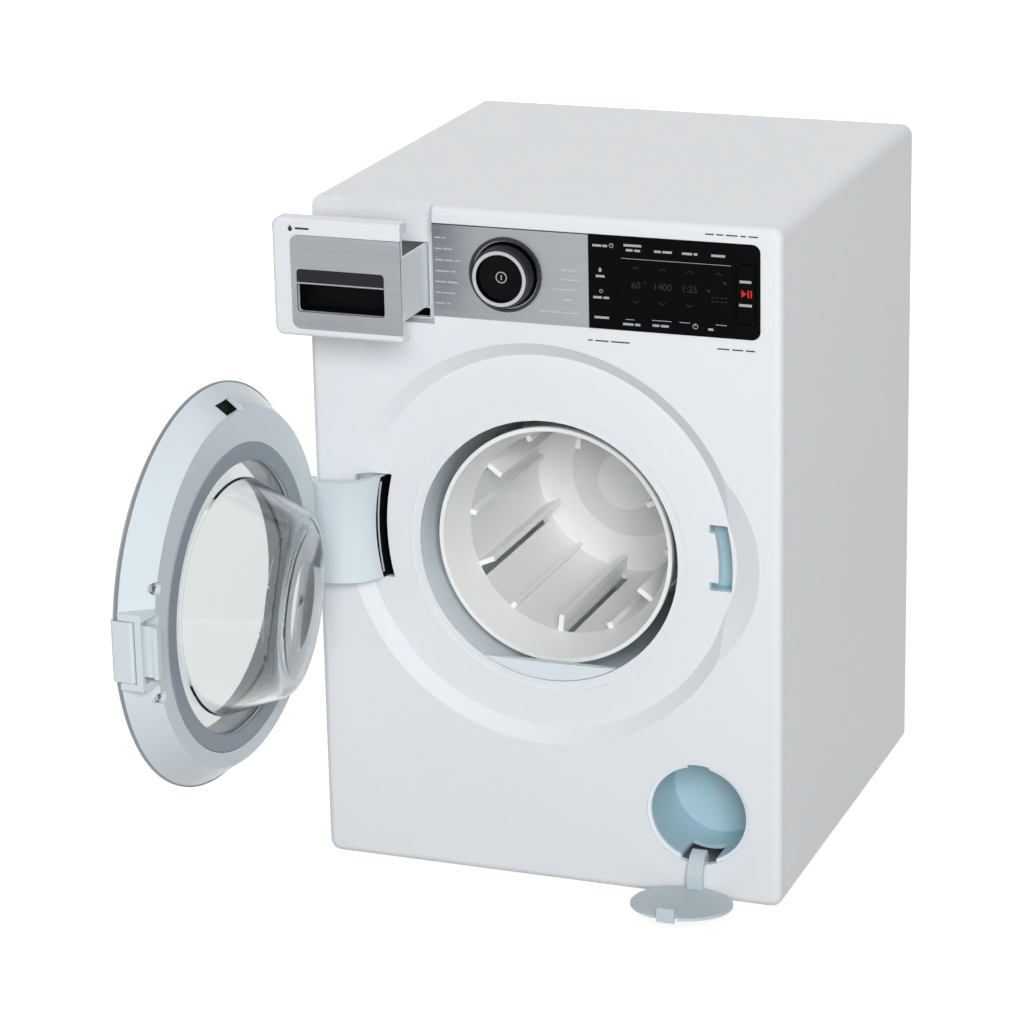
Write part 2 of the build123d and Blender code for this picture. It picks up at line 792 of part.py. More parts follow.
with BuildPart() as idler_gear:
    with BuildSketch(front(gear_front, *idler_place)):
        add(idler_small_face)
    extrude(amount=gear_front - fine_gear_front)
    with BuildSketch(front(fine_gear_front, *idler_place)):
        add(idler_large_face)
    extrude(amount=-fine_gear_width)
    with BuildSketch(front(tub_outer_back + gap, *idler_place)):
        Circle(idler_hub_radius)
    extrude(amount=tub_outer_back + 2 * gap - plate_front)
    with BuildSketch(front(tub_outer_back, *idler_place)):
        Circle(idler_axle_radius + running)
    extrude(amount=tub_outer_back - plate_front, mode=Mode.SUBTRACT)
save(idler_gear.part, "idler_gear")

with BuildPart() as idler_axle:
    with BuildSketch(front(tub_back + gap, *idler_place)):
        Circle(idler_axle_radius)
    extrude(amount=tub_back + gap - plate_back)
save(idler_axle.part, "idler_axle")

with BuildPart() as pinion:
    with BuildSketch(front(fine_gear_front, *motor_place)):
        add(pinion_face)
        Circle(motor_shaft_radius + running, mode=Mode.SUBTRACT)
    extrude(amount=-fine_gear_width)
save(pinion.part, "pinion")

with BuildPart() as motor_shaft:
    with BuildSketch(front(fine_gear_front, *motor_place)):
        Circle(motor_shaft_radius)
    extrude(amount=fine_gear_front - plate_back)
save(motor_shaft.part, "motor_shaft")

with BuildPart() as gear_plate:
    with BuildSketch(front(plate_front)):
        with Locations(*gear_post_places, idler_place):
            Circle(2 * gear_plate_post)
        with Locations(motor_place):
            Circle(motor_radius)
        make_hull()
        with Locations(*gear_post_places):
            Circle(screw_radius + thread_clearance, mode=Mode.SUBTRACT)
        with Locations(idler_place):
            Circle(idler_axle_radius + running, mode=Mode.SUBTRACT)
        with Locations(motor_place):
            Circle(motor_shaft_radius + gap, mode=Mode.SUBTRACT)
    extrude(amount=-gear_plate_thickness)
save(gear_plate.part, "gear_plate")

with BuildPart() as motor:
    with BuildSketch(front(plate_back, *motor_place)):
        Circle(motor_radius)
    extrude(amount=-motor_length)
    chamfer(motor.faces().sort_by(Axis.Y)[-1].edges(), motor_chamfer)
    with BuildSketch(front(plate_back, *motor_place)):
        Circle(motor_shaft_radius + gap)
    extrude(amount=-gap, mode=Mode.SUBTRACT)
save(motor.part, "motor")


def save_screws(name, head_depth, places, length=screw_length):
    """Write a group of screws with their heads at `head_depth`, driven in from the back."""
    with BuildPart() as screws:
        for place in places:
            with BuildSketch(front(head_depth, *place)):
                Circle(screw_head_radius)
            extrude(amount=-screw_head_height)
            with BuildSketch(front(head_depth, *place)):
                Circle(screw_radius)
            extrude(amount=length)
    save(screws.part, name)


save_screws("gear_plate_screws", plate_back, gear_post_places)
save_screws("tub_screws", tub_ear_depth + tub_wall, ear_places, tub_wall + tub_screw_grip)

# ------------------------------------------------------------------------------ door

def arm_section(angle):
    """Return the upright plane through the hinge axis, turned `angle` from the door."""
    level = hinge(arm_centre_z).rotated((0, 0, angle))
    return Plane(origin=level.origin, x_dir=level.x_dir, z_dir=level.x_dir.cross(Vector(0, 0, 1)))


def waisted(inner, outer, height, angle):
    """Return an upright section, waisted like the slot's edge, at `angle` about the hinge."""
    rise = height ** 2 / (8 * slot_edge_radius)
    with BuildSketch(arm_section(angle)) as face:
        with BuildLine():
            sides = [ThreePointArc((radius + rise, -height / 2), (radius, 0),
                                   (radius + rise, height / 2)) for radius in (inner, outer)]
            Line(sides[0] @ 0, sides[1] @ 0)
            Line(sides[0] @ 1, sides[1] @ 1)
        make_face()
    return face.sketch


with BuildPart() as door_rim:
    with BuildSketch(section(door(0))):
        with BuildLine():
            edge = Polyline((rim_radius - rim_wall, rim_thickness), (rim_radius, rim_thickness),
                            (rim_radius, 0))
            crest = ThreePointArc(edge @ 1, (rim_shoulder, -rim_shoulder_dome), (rim_crest, -rim_dome))
            slope = Line(crest @ 1, (rim_inner, -rim_inner_dome))
            inner = Line(slope @ 1, (rim_inner, rim_wall - rim_inner_dome))
            under = Line(inner @ 1, (rim_crest, rim_wall - rim_dome))
            ThreePointArc(under @ 1, (rim_shoulder - rim_wall, rim_wall - rim_under_dome), edge @ 0)
        make_face()
    revolve(axis=spindle(door(0)))
    with BuildSketch(door(bezel_inner_depth - bowl_flange_thickness, bowl_u, bowl_v)):
        Circle(rim_window_radius + bowl_flange_thickness)
    extrude(amount=bezel_inner_depth - bowl_flange_thickness)
    with BuildSketch(door(rim_thickness)):
        for side in (-1, 1):
            with Locations((door_screw_offset, side * door_screw_spread)):
                Circle(door_post_radius)
    extrude(amount=rim_thickness + rim_dome - rim_wall / 2)
    with BuildSketch(door(bezel_depth, bowl_u, bowl_v)):
        Circle(rim_window_radius)
    extrude(amount=2 * bezel_depth, mode=Mode.SUBTRACT)
    with BuildSketch(door(rim_thickness)):
        for side in (-1, 1):
            with Locations((door_screw_offset, side * door_screw_spread)):
                Circle(screw_radius + thread_clearance)
    extrude(amount=rim_thickness + rim_wall / 2, mode=Mode.SUBTRACT)
    with BuildSketch(door(bezel_depth, handle_inner - gap, handle_v)):
        Rectangle(rim_radius, handle_notch, align=(Align.MIN, Align.CENTER))
    extrude(amount=2 * bezel_depth, mode=Mode.SUBTRACT)
save(door_rim.part, "door_rim")

with BuildPart() as door_bezel:
    with BuildSketch(section(door(0))):
        with BuildLine():
            Polyline((rim_radius - rim_lip, rim_thickness), (bezel_radius, bezel_depth),
                     (rim_inner, bezel_depth), (rim_inner, bezel_inner_depth),
                     (bezel_radius - bezel_wall / 2, bezel_inner_depth),
                     (rim_radius - rim_lip - bezel_wall, rim_thickness), close=True)
        make_face()
    revolve(axis=spindle(door(0)))
    with BuildSketch(door(rim_thickness)):
        for side in (-1, 1):
            with Locations((door_screw_offset, side * door_screw_spread)):
                Circle(door_post_radius)
    extrude(amount=rim_thickness - bezel_inner_depth)
    for side in (-1, 1):
        lug_v = handle_v + side * (handle_notch + handle_lug_thickness) / 2
        with BuildSketch(section(door(0, 0, lug_v))):
            with BuildLine():
                Polyline((handle_pocket_inner, rim_thickness + gap),
                         (handle_lug_outer, rim_thickness + gap),
                         (handle_lug_outer, latch_bar_back),
                         (bezel_radius - bezel_wall / 2, bezel_depth),
                         (handle_pocket_inner, bezel_depth), close=True)
            make_face()
        extrude(amount=handle_lug_thickness / 2, both=True)
    with BuildSketch(section(door(0, 0, handle_v))):
        with Locations((handle_pocket_inner, rim_thickness + gap)):
            Rectangle(handle_pocket_wall, bezel_inner_depth - rim_thickness,
                      align=(Align.MIN, Align.MIN))
    extrude(amount=handle_notch / 2 + handle_lug_thickness, both=True)
    with BuildSketch(section(door(0, 0, handle_v))):
        with Locations((handle_pivot_u, handle_pivot_w)):
            Circle(handle_pivot_radius + running)
    extrude(amount=handle_notch / 2 + handle_lug_thickness, both=True, mode=Mode.SUBTRACT)
    with BuildSketch(door(bezel_depth, bowl_u, bowl_v)):
        Circle(seal_outer_radius + seam)
    extrude(amount=seal_seat, mode=Mode.SUBTRACT)
    with BuildSketch(door(bezel_depth, bowl_u, bowl_v)):
        Circle(rim_window_radius + seam)
    extrude(amount=2 * bezel_wall, mode=Mode.SUBTRACT)
    with BuildSketch(door(bezel_depth + rim_thickness, handle_inner - gap, handle_v)):
        Rectangle(rim_radius, handle_notch, align=(Align.MIN, Align.CENTER))
    extrude(amount=2 * bezel_depth, mode=Mode.SUBTRACT)
    with BuildSketch(section(door(0, 0, handle_v))):
        with Locations((handle_lug_outer, latch_bar_back)):
            Rectangle(latch_bar_thickness, latch_bar_depth, align=(Align.MAX, Align.MAX))
    extrude(amount=handle_notch / 2 + handle_lug_thickness, both=True)
    with BuildSketch(door(bezel_depth + rim_thickness, bezel_slot_u, bezel_slot_v)):
        Rectangle(bezel_slot_width, bezel_slot_height)
    extrude(amount=bezel_depth, mode=Mode.SUBTRACT)

    # Wells and holes of the two screws, and the way in for the hinge arm
    with BuildSketch(door(bezel_depth + rim_thickness)):
        for side in (-1, 1):
            with Locations((door_screw_offset, side * door_screw_spread)):
                Circle(door_screw_head_radius + gap)
    extrude(amount=rim_thickness + bezel_depth - door_screw_seat, mode=Mode.SUBTRACT)
    with BuildSketch(door(bezel_depth)):
        for side in (-1, 1):
            with Locations((door_screw_offset, side * door_screw_spread)):
                Circle(screw_radius + thread_clearance)
    extrude(amount=bezel_depth, mode=Mode.SUBTRACT)
    with BuildSketch(section(door(0, hinge_x - ring_x, arm_v))):
        with Locations((0, bezel_inner_depth)):
            Rectangle(arm_flange_reach + gap, arm_flange_thickness + gap,
                      align=(Align.MIN, Align.MAX))
            Rectangle(arm_outer_radius + arm_waist + gap, 2 * (bezel_wall + gap),
                      align=(Align.MIN, Align.CENTER))
    extrude(amount=arm_height / 2 + gap, both=True, mode=Mode.SUBTRACT)
    with BuildSketch(door(bezel_inner_depth, hinge_x - ring_x + arm_screw_reach, arm_v)):
        for side in (-1, 1):
            with Locations((0, side * arm_screw_spread)):
                Circle(screw_radius + thread_clearance)
    extrude(amount=-arm_screw_grip, mode=Mode.SUBTRACT)
save(door_bezel.part, "door_bezel")

with BuildPart() as door_seal:
    with BuildSketch(door(bezel_depth - seal_seat, bowl_u, bowl_v)):
        Circle(seal_outer_radius)
        Circle(seal_inner_radius, mode=Mode.SUBTRACT)
    extrude(amount=-seal_seat - seal_rise)
    fillet(door_seal.faces().sort_by(Axis(door(0).origin, door(0).z_dir))[0].edges(), seal_edge_radius)
save(door_seal.part, "door_seal")

with BuildPart() as door_bowl:
    bowl_plane = door(bezel_inner_depth, bowl_u, bowl_v)
    bowl_axis = spindle(bowl_plane)
    side_slope = (bowl_radius - bowl_end_radius) / (bowl_depth - bezel_inner_depth)
    bowl_reach = bowl_depth * bowl_blank_factor
    with Locations(door(bezel_inner_depth + bowl_reach, bowl_u, bowl_v)):
        Cone(bowl_radius - side_slope * bowl_reach, bowl_radius, bowl_reach, align=from_back)
    end_normal = (bowl_plane.x_dir * bowl_slant_u + bowl_plane.y_dir * bowl_slant_v
                  + bowl_plane.z_dir)
    end_plane = Plane(origin=door(bowl_depth, bowl_u, bowl_v).origin, z_dir=end_normal)
    split(bisect_by=end_plane, keep=Keep.TOP)
    fillet(door_bowl.faces().sort_by(bowl_axis)[0].edges(), bowl_edge_radius)
    offset(amount=-bowl_wall, openings=door_bowl.faces().sort_by(bowl_axis)[-1])
    dimple_sphere = bowl_dimple_radius ** 2 / (2 * bowl_dimple_depth)
    with Locations(end_plane.offset(bowl_dimple_depth - dimple_sphere)):
        Sphere(dimple_sphere, mode=Mode.SUBTRACT)
    with BuildSketch(bowl_plane):
        Circle(bowl_flange_radius)
        Circle(bowl_radius - bowl_wall, mode=Mode.SUBTRACT)
    extrude(amount=bowl_flange_thickness)
save(door_bowl.part, "door_bowl")

with BuildPart() as hinge_arm:
    revolve(waisted(arm_inner_radius, arm_outer_radius, arm_height, arm_start_angle),
            axis=spindle(hinge(arm_centre_z)), revolution_arc=arm_end_angle - arm_start_angle)
    revolve(waisted(arm_outer_radius - arm_groove_depth, arm_outer_radius + arm_groove_depth,
                    arm_groove_height, arm_groove_angle),
            axis=spindle(hinge(arm_centre_z)), revolution_arc=arm_groove_width,
            mode=Mode.SUBTRACT)
    with BuildSketch(hinge(arm_centre_z)):
        Rectangle(arm_inner_radius + arm_waist + seam, arm_web_thickness,
                  align=(Align.MIN, Align.CENTER), rotation=arm_end_angle - arm_web_angle)
        Circle(knuckle_radius)
        Circle(hinge_pin_radius + running, mode=Mode.SUBTRACT)
        with Locations((arm_flange_start, bezel_inner_depth - rim_stand_off - hinge_depth)):
            Rectangle(arm_flange_reach - arm_flange_start, arm_flange_thickness,
                      align=(Align.MIN, Align.MAX))
    extrude(amount=arm_height / 2, both=True)
    with BuildSketch(door(bezel_inner_depth, hinge_x - ring_x + arm_screw_reach, arm_v)):
        for side in (-1, 1):
            with Locations((0, side * arm_screw_spread)):
                Circle(screw_radius + thread_clearance)
    extrude(amount=2 * arm_flange_thickness, both=True, mode=Mode.SUBTRACT)
save(hinge_arm.part, "hinge_arm")

with BuildPart() as hinge_pin:
    with BuildSketch(Plane.XY.offset(arm_centre_z)):
        with Locations((hinge_x, hinge_y)):
            Circle(hinge_pin_radius)
    extrude(amount=hinge_pin_length / 2, both=True)
    chamfer(hinge_pin.edges().filter_by(GeomType.CIRCLE), pin_chamfer)
save(hinge_pin.part, "hinge_pin")

with BuildPart() as arm_screws:
    for side in (-1, 1):
        screw_place = (hinge_x - ring_x + arm_screw_reach, arm_v + side * arm_screw_spread)
        with BuildSketch(door(bezel_inner_depth - arm_flange_thickness, *screw_place)):
            Circle(screw_head_radius)
        extrude(amount=screw_head_height)
        with BuildSketch(door(bezel_inner_depth - arm_flange_thickness, *screw_place)):
            Circle(screw_radius)
        extrude(amount=-arm_flange_thickness - arm_screw_grip + arm_screw_tip_gap)
save(arm_screws.part, "arm_screws")

with BuildPart() as door_screws:
    for side in (-1, 1):
        screw_place = (door_screw_offset, side * door_screw_spread)
        with BuildSketch(door(door_screw_seat, *screw_place)):
            Circle(door_screw_head_radius)
        extrude(amount=-door_screw_head_height)
        with BuildSketch(door(door_screw_seat, *screw_place)):
            Circle(screw_radius)
        extrude(amount=door_screw_seat)
save(door_screws.part, "door_screws")

with BuildPart() as door_handle:
    with BuildSketch(section(door(0, 0, handle_v))):
        with Locations((handle_inner, handle_front)):
            Rectangle(handle_outer - handle_inner, handle_back - handle_front,
                      align=(Align.MIN, Align.MIN))
    extrude(amount=handle_height / 2, both=True)
    fillet(door_handle.edges().filter_by(Axis.Z), handle_edge_radius)
    with BuildSketch(section(door(0, 0, handle_v))):
        with Locations((tongue_inner, handle_back - handle_edge_radius)):
            Rectangle(tongue_thickness, tongue_reach + handle_edge_radius - handle_back,
                      align=(Align.MIN, Align.MIN))
        with Locations((tongue_inner, tongue_reach)):
            Rectangle(tongue_thickness + tongue_hook, tongue_hook_height,
                      align=(Align.MIN, Align.MAX))
        with Locations((tongue_inner, tongue_groove_start)):
            Rectangle(tongue_groove_depth, tongue_groove_width, align=(Align.MIN, Align.MIN),
                      mode=Mode.SUBTRACT)
    extrude(amount=tongue_height / 2, both=True)
    with BuildSketch(section(door(0, 0, handle_v))):
        with Locations((handle_pivot_u, handle_pivot_w)):
            Circle(handle_pivot_radius)
    extrude(amount=handle_notch / 2 + handle_pivot_length, both=True)
save(door_handle.part, "door_handle")

with BuildPart() as catch_box:
    catch_middle = port_x + (catch_inner_radius - catch_relief_reach + catch_outer_radius) / 2
    catch_span = catch_outer_radius - catch_inner_radius + catch_relief_reach + 2 * gap
    with BuildSketch(front(dish_floor, catch_middle, port_z + catch_rise)):
        Rectangle(catch_span + 2 * catch_box_wall, catch_height + 2 * catch_box_wall + 2 * gap)
    extrude(amount=-catch_box_depth)
    with BuildSketch(front(dish_floor, catch_middle, port_z + catch_rise)):
        Rectangle(catch_span, catch_height + 2 * gap)
    extrude(amount=catch_box_wall - catch_box_depth, mode=Mode.SUBTRACT)
save(catch_box.part, "catch_box")

# ---------------------------------------------------------------------------- drawer


def drawer(depth, x=0.0, z=0.0):
    """Return the plane `depth` behind the face of the pulled-out drawer."""
    return front(depth - drawer_out, x, z)


shell_right = left_x + bay_width - gap
shell_bottom_z = bay_bottom_z + gap

with BuildPart() as drawer_front:
    with BuildSketch(drawer(0, left_x, shell_bottom_z)):
        Rectangle(shell_right - left_x, body_height - shell_bottom_z, align=(Align.MIN, Align.MIN))
    extrude(amount=-drawer_lip_depth)
    fillet(drawer_front.edges().filter_by(Axis.Y).group_by(Axis.X)[0], drawer_corner_radius)
    fillet(drawer_front.faces().sort_by(Axis.Y)[0].edges().group_by(Axis.X)[0:-1],
           drawer_edge_radius)
    with BuildSketch(drawer(drawer_shell, left_x + drawer_shell, shell_bottom_z + drawer_shell)):
        Rectangle(shell_right - left_x, body_height - shell_bottom_z - 2 * drawer_shell,
                  align=(Align.MIN, Align.MIN))
    extrude(amount=-drawer_lip_depth, mode=Mode.SUBTRACT)
    with BuildSketch(drawer(drawer_shell, shell_right, body_height - drawer_shell)):
        Rectangle(drawer_hook_width, drawer_hook_drop, align=(Align.MAX, Align.MAX))
    extrude(amount=drawer_shell - drawer_lip_depth)
    with BuildSketch(drawer(0, left_x + insert_left - seam, panel_bottom_z - seam)) as seat:
        Rectangle(bay_width, panel_height + 2 * seam, align=(Align.MIN, Align.MIN))
        fillet(seat.vertices().group_by(Axis.X)[0], display_corner_radius)
    extrude(amount=panel_proud - insert_thickness, mode=Mode.SUBTRACT)
    with BuildSketch(drawer(0, *pocket_centre)):
        RectangleRounded(pocket_width, pocket_height, pocket_corner_radius)
    extrude(amount=-2 * drawer_shell, mode=Mode.SUBTRACT)
save(drawer_front.part, "drawer_front")

with BuildPart() as drawer_insert:
    with BuildSketch(drawer(insert_thickness - panel_proud, left_x + insert_left, panel_bottom_z)):
        Rectangle(shell_right - left_x - insert_left, panel_height, align=(Align.MIN, Align.MIN))
    extrude(amount=insert_thickness)
    fillet(drawer_insert.edges().filter_by(Axis.Y).group_by(Axis.X)[0], display_corner_radius)
    with BuildSketch(drawer(0, *pocket_centre)):
        RectangleRounded(pocket_width, pocket_height, pocket_corner_radius)
    extrude(amount=insert_thickness, both=True, mode=Mode.SUBTRACT)
save(drawer_insert.part, "drawer_insert")

with BuildPart() as drawer_pocket:
    with BuildSketch(drawer(drawer_shell, *pocket_centre)):
        Rectangle(pocket_width + 2 * pocket_wall, pocket_height + 2 * pocket_wall)
    extrude(amount=drawer_shell - pocket_depth - pocket_wall)
    with BuildSketch(drawer(drawer_shell, *pocket_centre)):
        RectangleRounded(pocket_width, pocket_height, pocket_corner_radius)
    extrude(amount=drawer_shell - pocket_depth, mode=Mode.SUBTRACT)
save(drawer_pocket.part, "drawer_pocket")

with BuildPart() as drawer_bar:
    with BuildSketch(drawer(handle_bar_thickness - panel_proud, pocket_centre[0],
                            pocket_bottom_z + pocket_height - seam)):
        Rectangle(pocket_width - 2 * seam, handle_bar_height, align=(Align.CENTER, Align.MAX))
    extrude(amount=handle_bar_thickness)
    fillet(drawer_bar.edges().filter_by(Axis.X).group_by(Axis.Z)[0], handle_bar_radius)
    fillet(drawer_bar.edges().filter_by(Axis.Y).group_by(Axis.Z)[-1], pocket_corner_radius)
save(drawer_bar.part, "drawer_bar")

with BuildPart() as drawer_tray:
    with BuildSketch(drawer(drawer_shell, tray_x, tray_bottom_z)):
        Rectangle(tray_width, tray_height, align=(Align.CENTER, Align.MIN))
    extrude(amount=-tray_length)
    with BuildSketch(drawer(drawer_shell, tray_x, tray_bottom_z + tray_wall)):
        Rectangle(tray_width - 2 * tray_wall, tray_height, align=(Align.CENTER, Align.MIN))
    extrude(amount=tray_wall - tray_length, mode=Mode.SUBTRACT)
save(drawer_tray.part, "drawer_tray")

with BuildPart() as drawer_case:
    case_front = bay_depth + wall
    case_length = drawer_shell + tray_length + 2 * gap - case_front
    with BuildSketch(front(case_front, tray_x, tray_bottom_z - gap)):
        Rectangle(tray_width + 2 * gap, tray_height + 2 * gap, align=(Align.CENTER, Align.MIN))
        offset(amount=case_wall, kind=Kind.INTERSECTION)
    extrude(amount=-case_length - case_wall)
    with BuildSketch(front(case_front, shell_right, tray_bottom_z - gap)):
        Rectangle(case_flange_width, tray_height + 2 * gap, align=(Align.MAX, Align.MIN))
    extrude(amount=-case_wall)
    with BuildSketch(front(case_front, tray_x, tray_bottom_z - gap)):
        Rectangle(tray_width + 2 * gap, tray_height + 2 * gap, align=(Align.CENTER, Align.MIN))
    extrude(amount=-case_length, mode=Mode.SUBTRACT)
save(drawer_case.part, "drawer_case")

# --------------------------------------------------------------------- control panel

with BuildPart() as fascia:
    with BuildSketch(front(panel_back, panel_left, panel_bottom_z)):
        Rectangle(display_left - panel_left - seam, panel_height, align=(Align.MIN, Align.MIN))
        with Locations((knob_x - panel_left, knob_z - panel_bottom_z)):
            Circle(knob_stem_radius + gap, mode=Mode.SUBTRACT)
    extrude(amount=panel_thickness)
save(fascia.part, "fascia")

with BuildPart() as display:
    with BuildSketch(front(panel_back, display_left, panel_bottom_z)):
        Rectangle(display_right - display_left, panel_height, align=(Align.MIN, Align.MIN))
    extrude(amount=panel_thickness)
    fillet(display.edges().filter_by(Axis.Y).group_by(Axis.X)[-1], display_corner_radius)
    with BuildSketch(front(panel_back, start_key_x, start_key_z)):
        RectangleRounded(start_key_width + 2 * gap, start_key_height + 2 * gap,
                         key_corner_radius + gap)
    extrude(amount=panel_thickness, mode=Mode.SUBTRACT)
save(display.part, "display")

with BuildPart() as start_key:
    key_back = wall + gap
    with BuildSketch(front(key_back, start_key_x, start_key_z)):
        RectangleRounded(start_key_width, start_key_height, key_corner_radius)
    extrude(amount=key_back + panel_proud + key_proud)
    with BuildSketch(front(key_back, start_key_x, start_key_z)):
        Rectangle(start_key_width + 2 * key_flange, start_key_height + 2 * key_flange)
    extrude(amount=-key_flange_thickness)
    with BuildSketch(front(key_back, start_key_x, board_z)):
        Circle(switch_plunger_radius)
    plunger_front = board_depth - switch_height - switch_plunger_height
    extrude(amount=key_back + key_travel + gap - plunger_front)
save(start_key.part, "start_key")

with BuildPart() as knob_bezel:
    with BuildSketch(front(-panel_proud, knob_x, knob_z)):
        Circle(bezel_ring_outer)
        Circle(bezel_ring_inner, mode=Mode.SUBTRACT)
    extrude(amount=bezel_ring_height)
    fillet(knob_bezel.faces().sort_by(Axis.Y)[0].edges(), bezel_ring_edge_radius)
save(knob_bezel.part, "knob_bezel")

knob_back = -panel_proud - gap
knob_front = knob_back - knob_height
button_back = knob_back - knob_floor - button_travel - gap

with BuildPart() as knob:
    with Locations(front(knob_back, knob_x, knob_z)):
        Cone(knob_base_radius, knob_top_radius, knob_height, align=from_back)
    fillet(knob.faces().sort_by(Axis.Y)[0].edges(), knob_edge_radius)
    with BuildSketch(front(knob_back - knob_floor, knob_x, knob_z)):
        Circle(button_radius + gap)
    extrude(amount=knob_height, mode=Mode.SUBTRACT)
    with BuildSketch(front(knob_back, knob_x, knob_z)):
        Circle(knob_stem_radius)
    dial_front = board_depth - dial_switch_height
    extrude(amount=knob_back + gap - dial_front)
    with BuildSketch(front(0, knob_x, knob_z)):
        Circle(button_stem_radius + running)
    extrude(amount=2 * board_depth, both=True, mode=Mode.SUBTRACT)
save(knob.part, "knob")

with BuildPart() as knob_ring:
    with BuildSketch(front(knob_front, knob_x, knob_z)):
        Circle(knob_ring_outer)
        Circle(knob_ring_inner, mode=Mode.SUBTRACT)
    extrude(amount=knob_ring_height)
    fillet(knob_ring.faces().sort_by(Axis.Y)[0].edges(), knob_ring_edge_radius)
save(knob_ring.part, "knob_ring")

with BuildPart() as knob_button:
    with BuildSketch(front(button_back, knob_x, knob_z)):
        Circle(button_radius)
    extrude(amount=button_thickness)
    dish_sphere = button_radius ** 2 / (2 * button_dish)
    with Locations(front(button_back - button_thickness - dish_sphere + button_dish,
                         knob_x, knob_z)):
        Sphere(dish_sphere, mode=Mode.SUBTRACT)
    with BuildSketch(front(button_back, knob_x, knob_z)):
        Circle(button_stem_radius)
    extrude(amount=button_back - dial_front - gap)
save(knob_button.part, "knob_button")

with BuildPart() as circuit_board:
    with BuildSketch(front(board_depth, board_x, board_z)):
        Rectangle(board_width, board_height)
    extrude(amount=-board_thickness)
    with BuildSketch(front(board_depth)):
        with Locations(*board_posts):
            Circle(screw_radius + thread_clearance)
    extrude(amount=-board_thickness, mode=Mode.SUBTRACT)
save(circuit_board.part, "circuit_board")

with BuildPart() as key_switch:
    with BuildSketch(front(board_depth, start_key_x, board_z)):
        Rectangle(switch_size, switch_size)
    extrude(amount=switch_height)
    with BuildSketch(front(board_depth, start_key_x, board_z)):
        Circle(switch_plunger_radius)
    extrude(amount=switch_height + switch_plunger_height)
save(key_switch.part, "key_switch")

with BuildPart() as dial_switch:
    with BuildSketch(front(board_depth, knob_x, knob_z)):
        Rectangle(dial_switch_size, dial_switch_size)
        Circle(button_stem_radius + gap, mode=Mode.SUBTRACT)
    extrude(amount=dial_switch_height)
save(dial_switch.part, "dial_switch")
save_screws("board_screws", board_back, board_posts, board_depth + board_thickness - wall - gap)

# ---------------------------------------------------------------------- service port

with BuildPart() as service_cup:
    cup_plane = front(0, service_x, service_z)
    with BuildSketch(section(cup_plane)):
        with BuildLine():
            Polyline((service_radius, wall), (service_radius + cup_wall + cup_flange, wall),
                     (service_radius + cup_wall + cup_flange, wall + cup_wall),
                     (service_radius + cup_wall, wall + cup_wall),
                     (service_radius + cup_wall, service_depth + cup_wall),
                     (0, service_depth + cup_wall), (0, service_depth),
                     (service_radius, service_depth), close=True)
        make_face()
    revolve(axis=spindle(cup_plane))
    with BuildSketch(front(wall, service_x, service_z)):
        Rectangle(notch_width, 2 * service_radius, align=(Align.CENTER, Align.MAX))
    extrude(amount=wall - notch_length, mode=Mode.SUBTRACT)
    with BuildSketch(front(wall, service_x, service_z)):
        Rectangle(snap_notch_width, service_radius + cup_wall + seam,
                  align=(Align.CENTER, Align.MIN))
    extrude(amount=wall - snap_notch_back, mode=Mode.SUBTRACT)
save(service_cup.part, "service_cup")

with BuildPart() as service_flap:
    with BuildSketch(flap_disc_plane):
        Circle(flap_radius)
    extrude(amount=-flap_thickness)
    chamfer(service_flap.faces().sort_by(spindle(flap_disc_plane))[0].edges(), flap_bevel)
    with BuildSketch(flap_disc_plane):
        with Locations((0, flap_tab_root + flap_tab_thickness)):
            Rectangle(flap_tab_width + 2 * flap_tab_relief, flap_radius,
                      align=(Align.CENTER, Align.MIN))
    extrude(amount=-flap_thickness, mode=Mode.SUBTRACT)
    with BuildSketch(flap_rise_plane):
        with BuildLine():
            Polyline((flap_tab_root, -flap_thickness / 2),
                     (flap_tab_root + flap_tab_slope, -flap_tab_rise),
                     (flap_tab_reach, -flap_tab_rise), (flap_tab_reach, flap_tab_proud),
                     (flap_tab_reach - flap_tab_thickness, flap_tab_proud),
                     (flap_tab_reach - flap_tab_thickness, flap_tab_thickness - flap_tab_rise),
                     (flap_tab_root + flap_tab_slope + flap_tab_thickness,
                      flap_tab_thickness - flap_tab_rise),
                     (flap_tab_root + flap_tab_thickness, -flap_thickness / 2), close=True)
        make_face()
    extrude(amount=flap_tab_width / 2, both=True)
    with BuildSketch(flap_side_plane):
        with BuildLine():
            inner_arc = CenterArc((0, 0), flap_arm_inner, flap_arm_start,
                                  flap_arm_end - flap_arm_start)
            outer_arc = CenterArc((0, 0), flap_arm_outer, flap_arm_start,
                                  flap_arm_end - flap_arm_start)
            Line(inner_arc @ 0, outer_arc @ 0)
            Line(inner_arc @ 1, outer_arc @ 1)
        make_face()
        Rectangle(flap_arm_inner + seam, flap_web_thickness, align=(Align.MIN, Align.CENTER),
                  rotation=flap_arm_start + flap_web_angle)
        Circle(flap_knuckle_radius)
        Circle(flap_pin_radius + running, mode=Mode.SUBTRACT)
    extrude(amount=flap_arm_width / 2, both=True)
save(service_flap.part, "service_flap")

with BuildPart() as flap_pin:
    with BuildSketch(Plane.YZ.offset(service_x)):
        with Locations((front_y + flap_hinge_depth, flap_hinge_z)):
            Circle(flap_pin_radius)
    extrude(amount=flap_arm_width / 2 + gap + flap_lug_thickness, both=True)
save(flap_pin.part, "flap_pin")

# --------------------------------------------- rear cover, batteries and loudspeaker

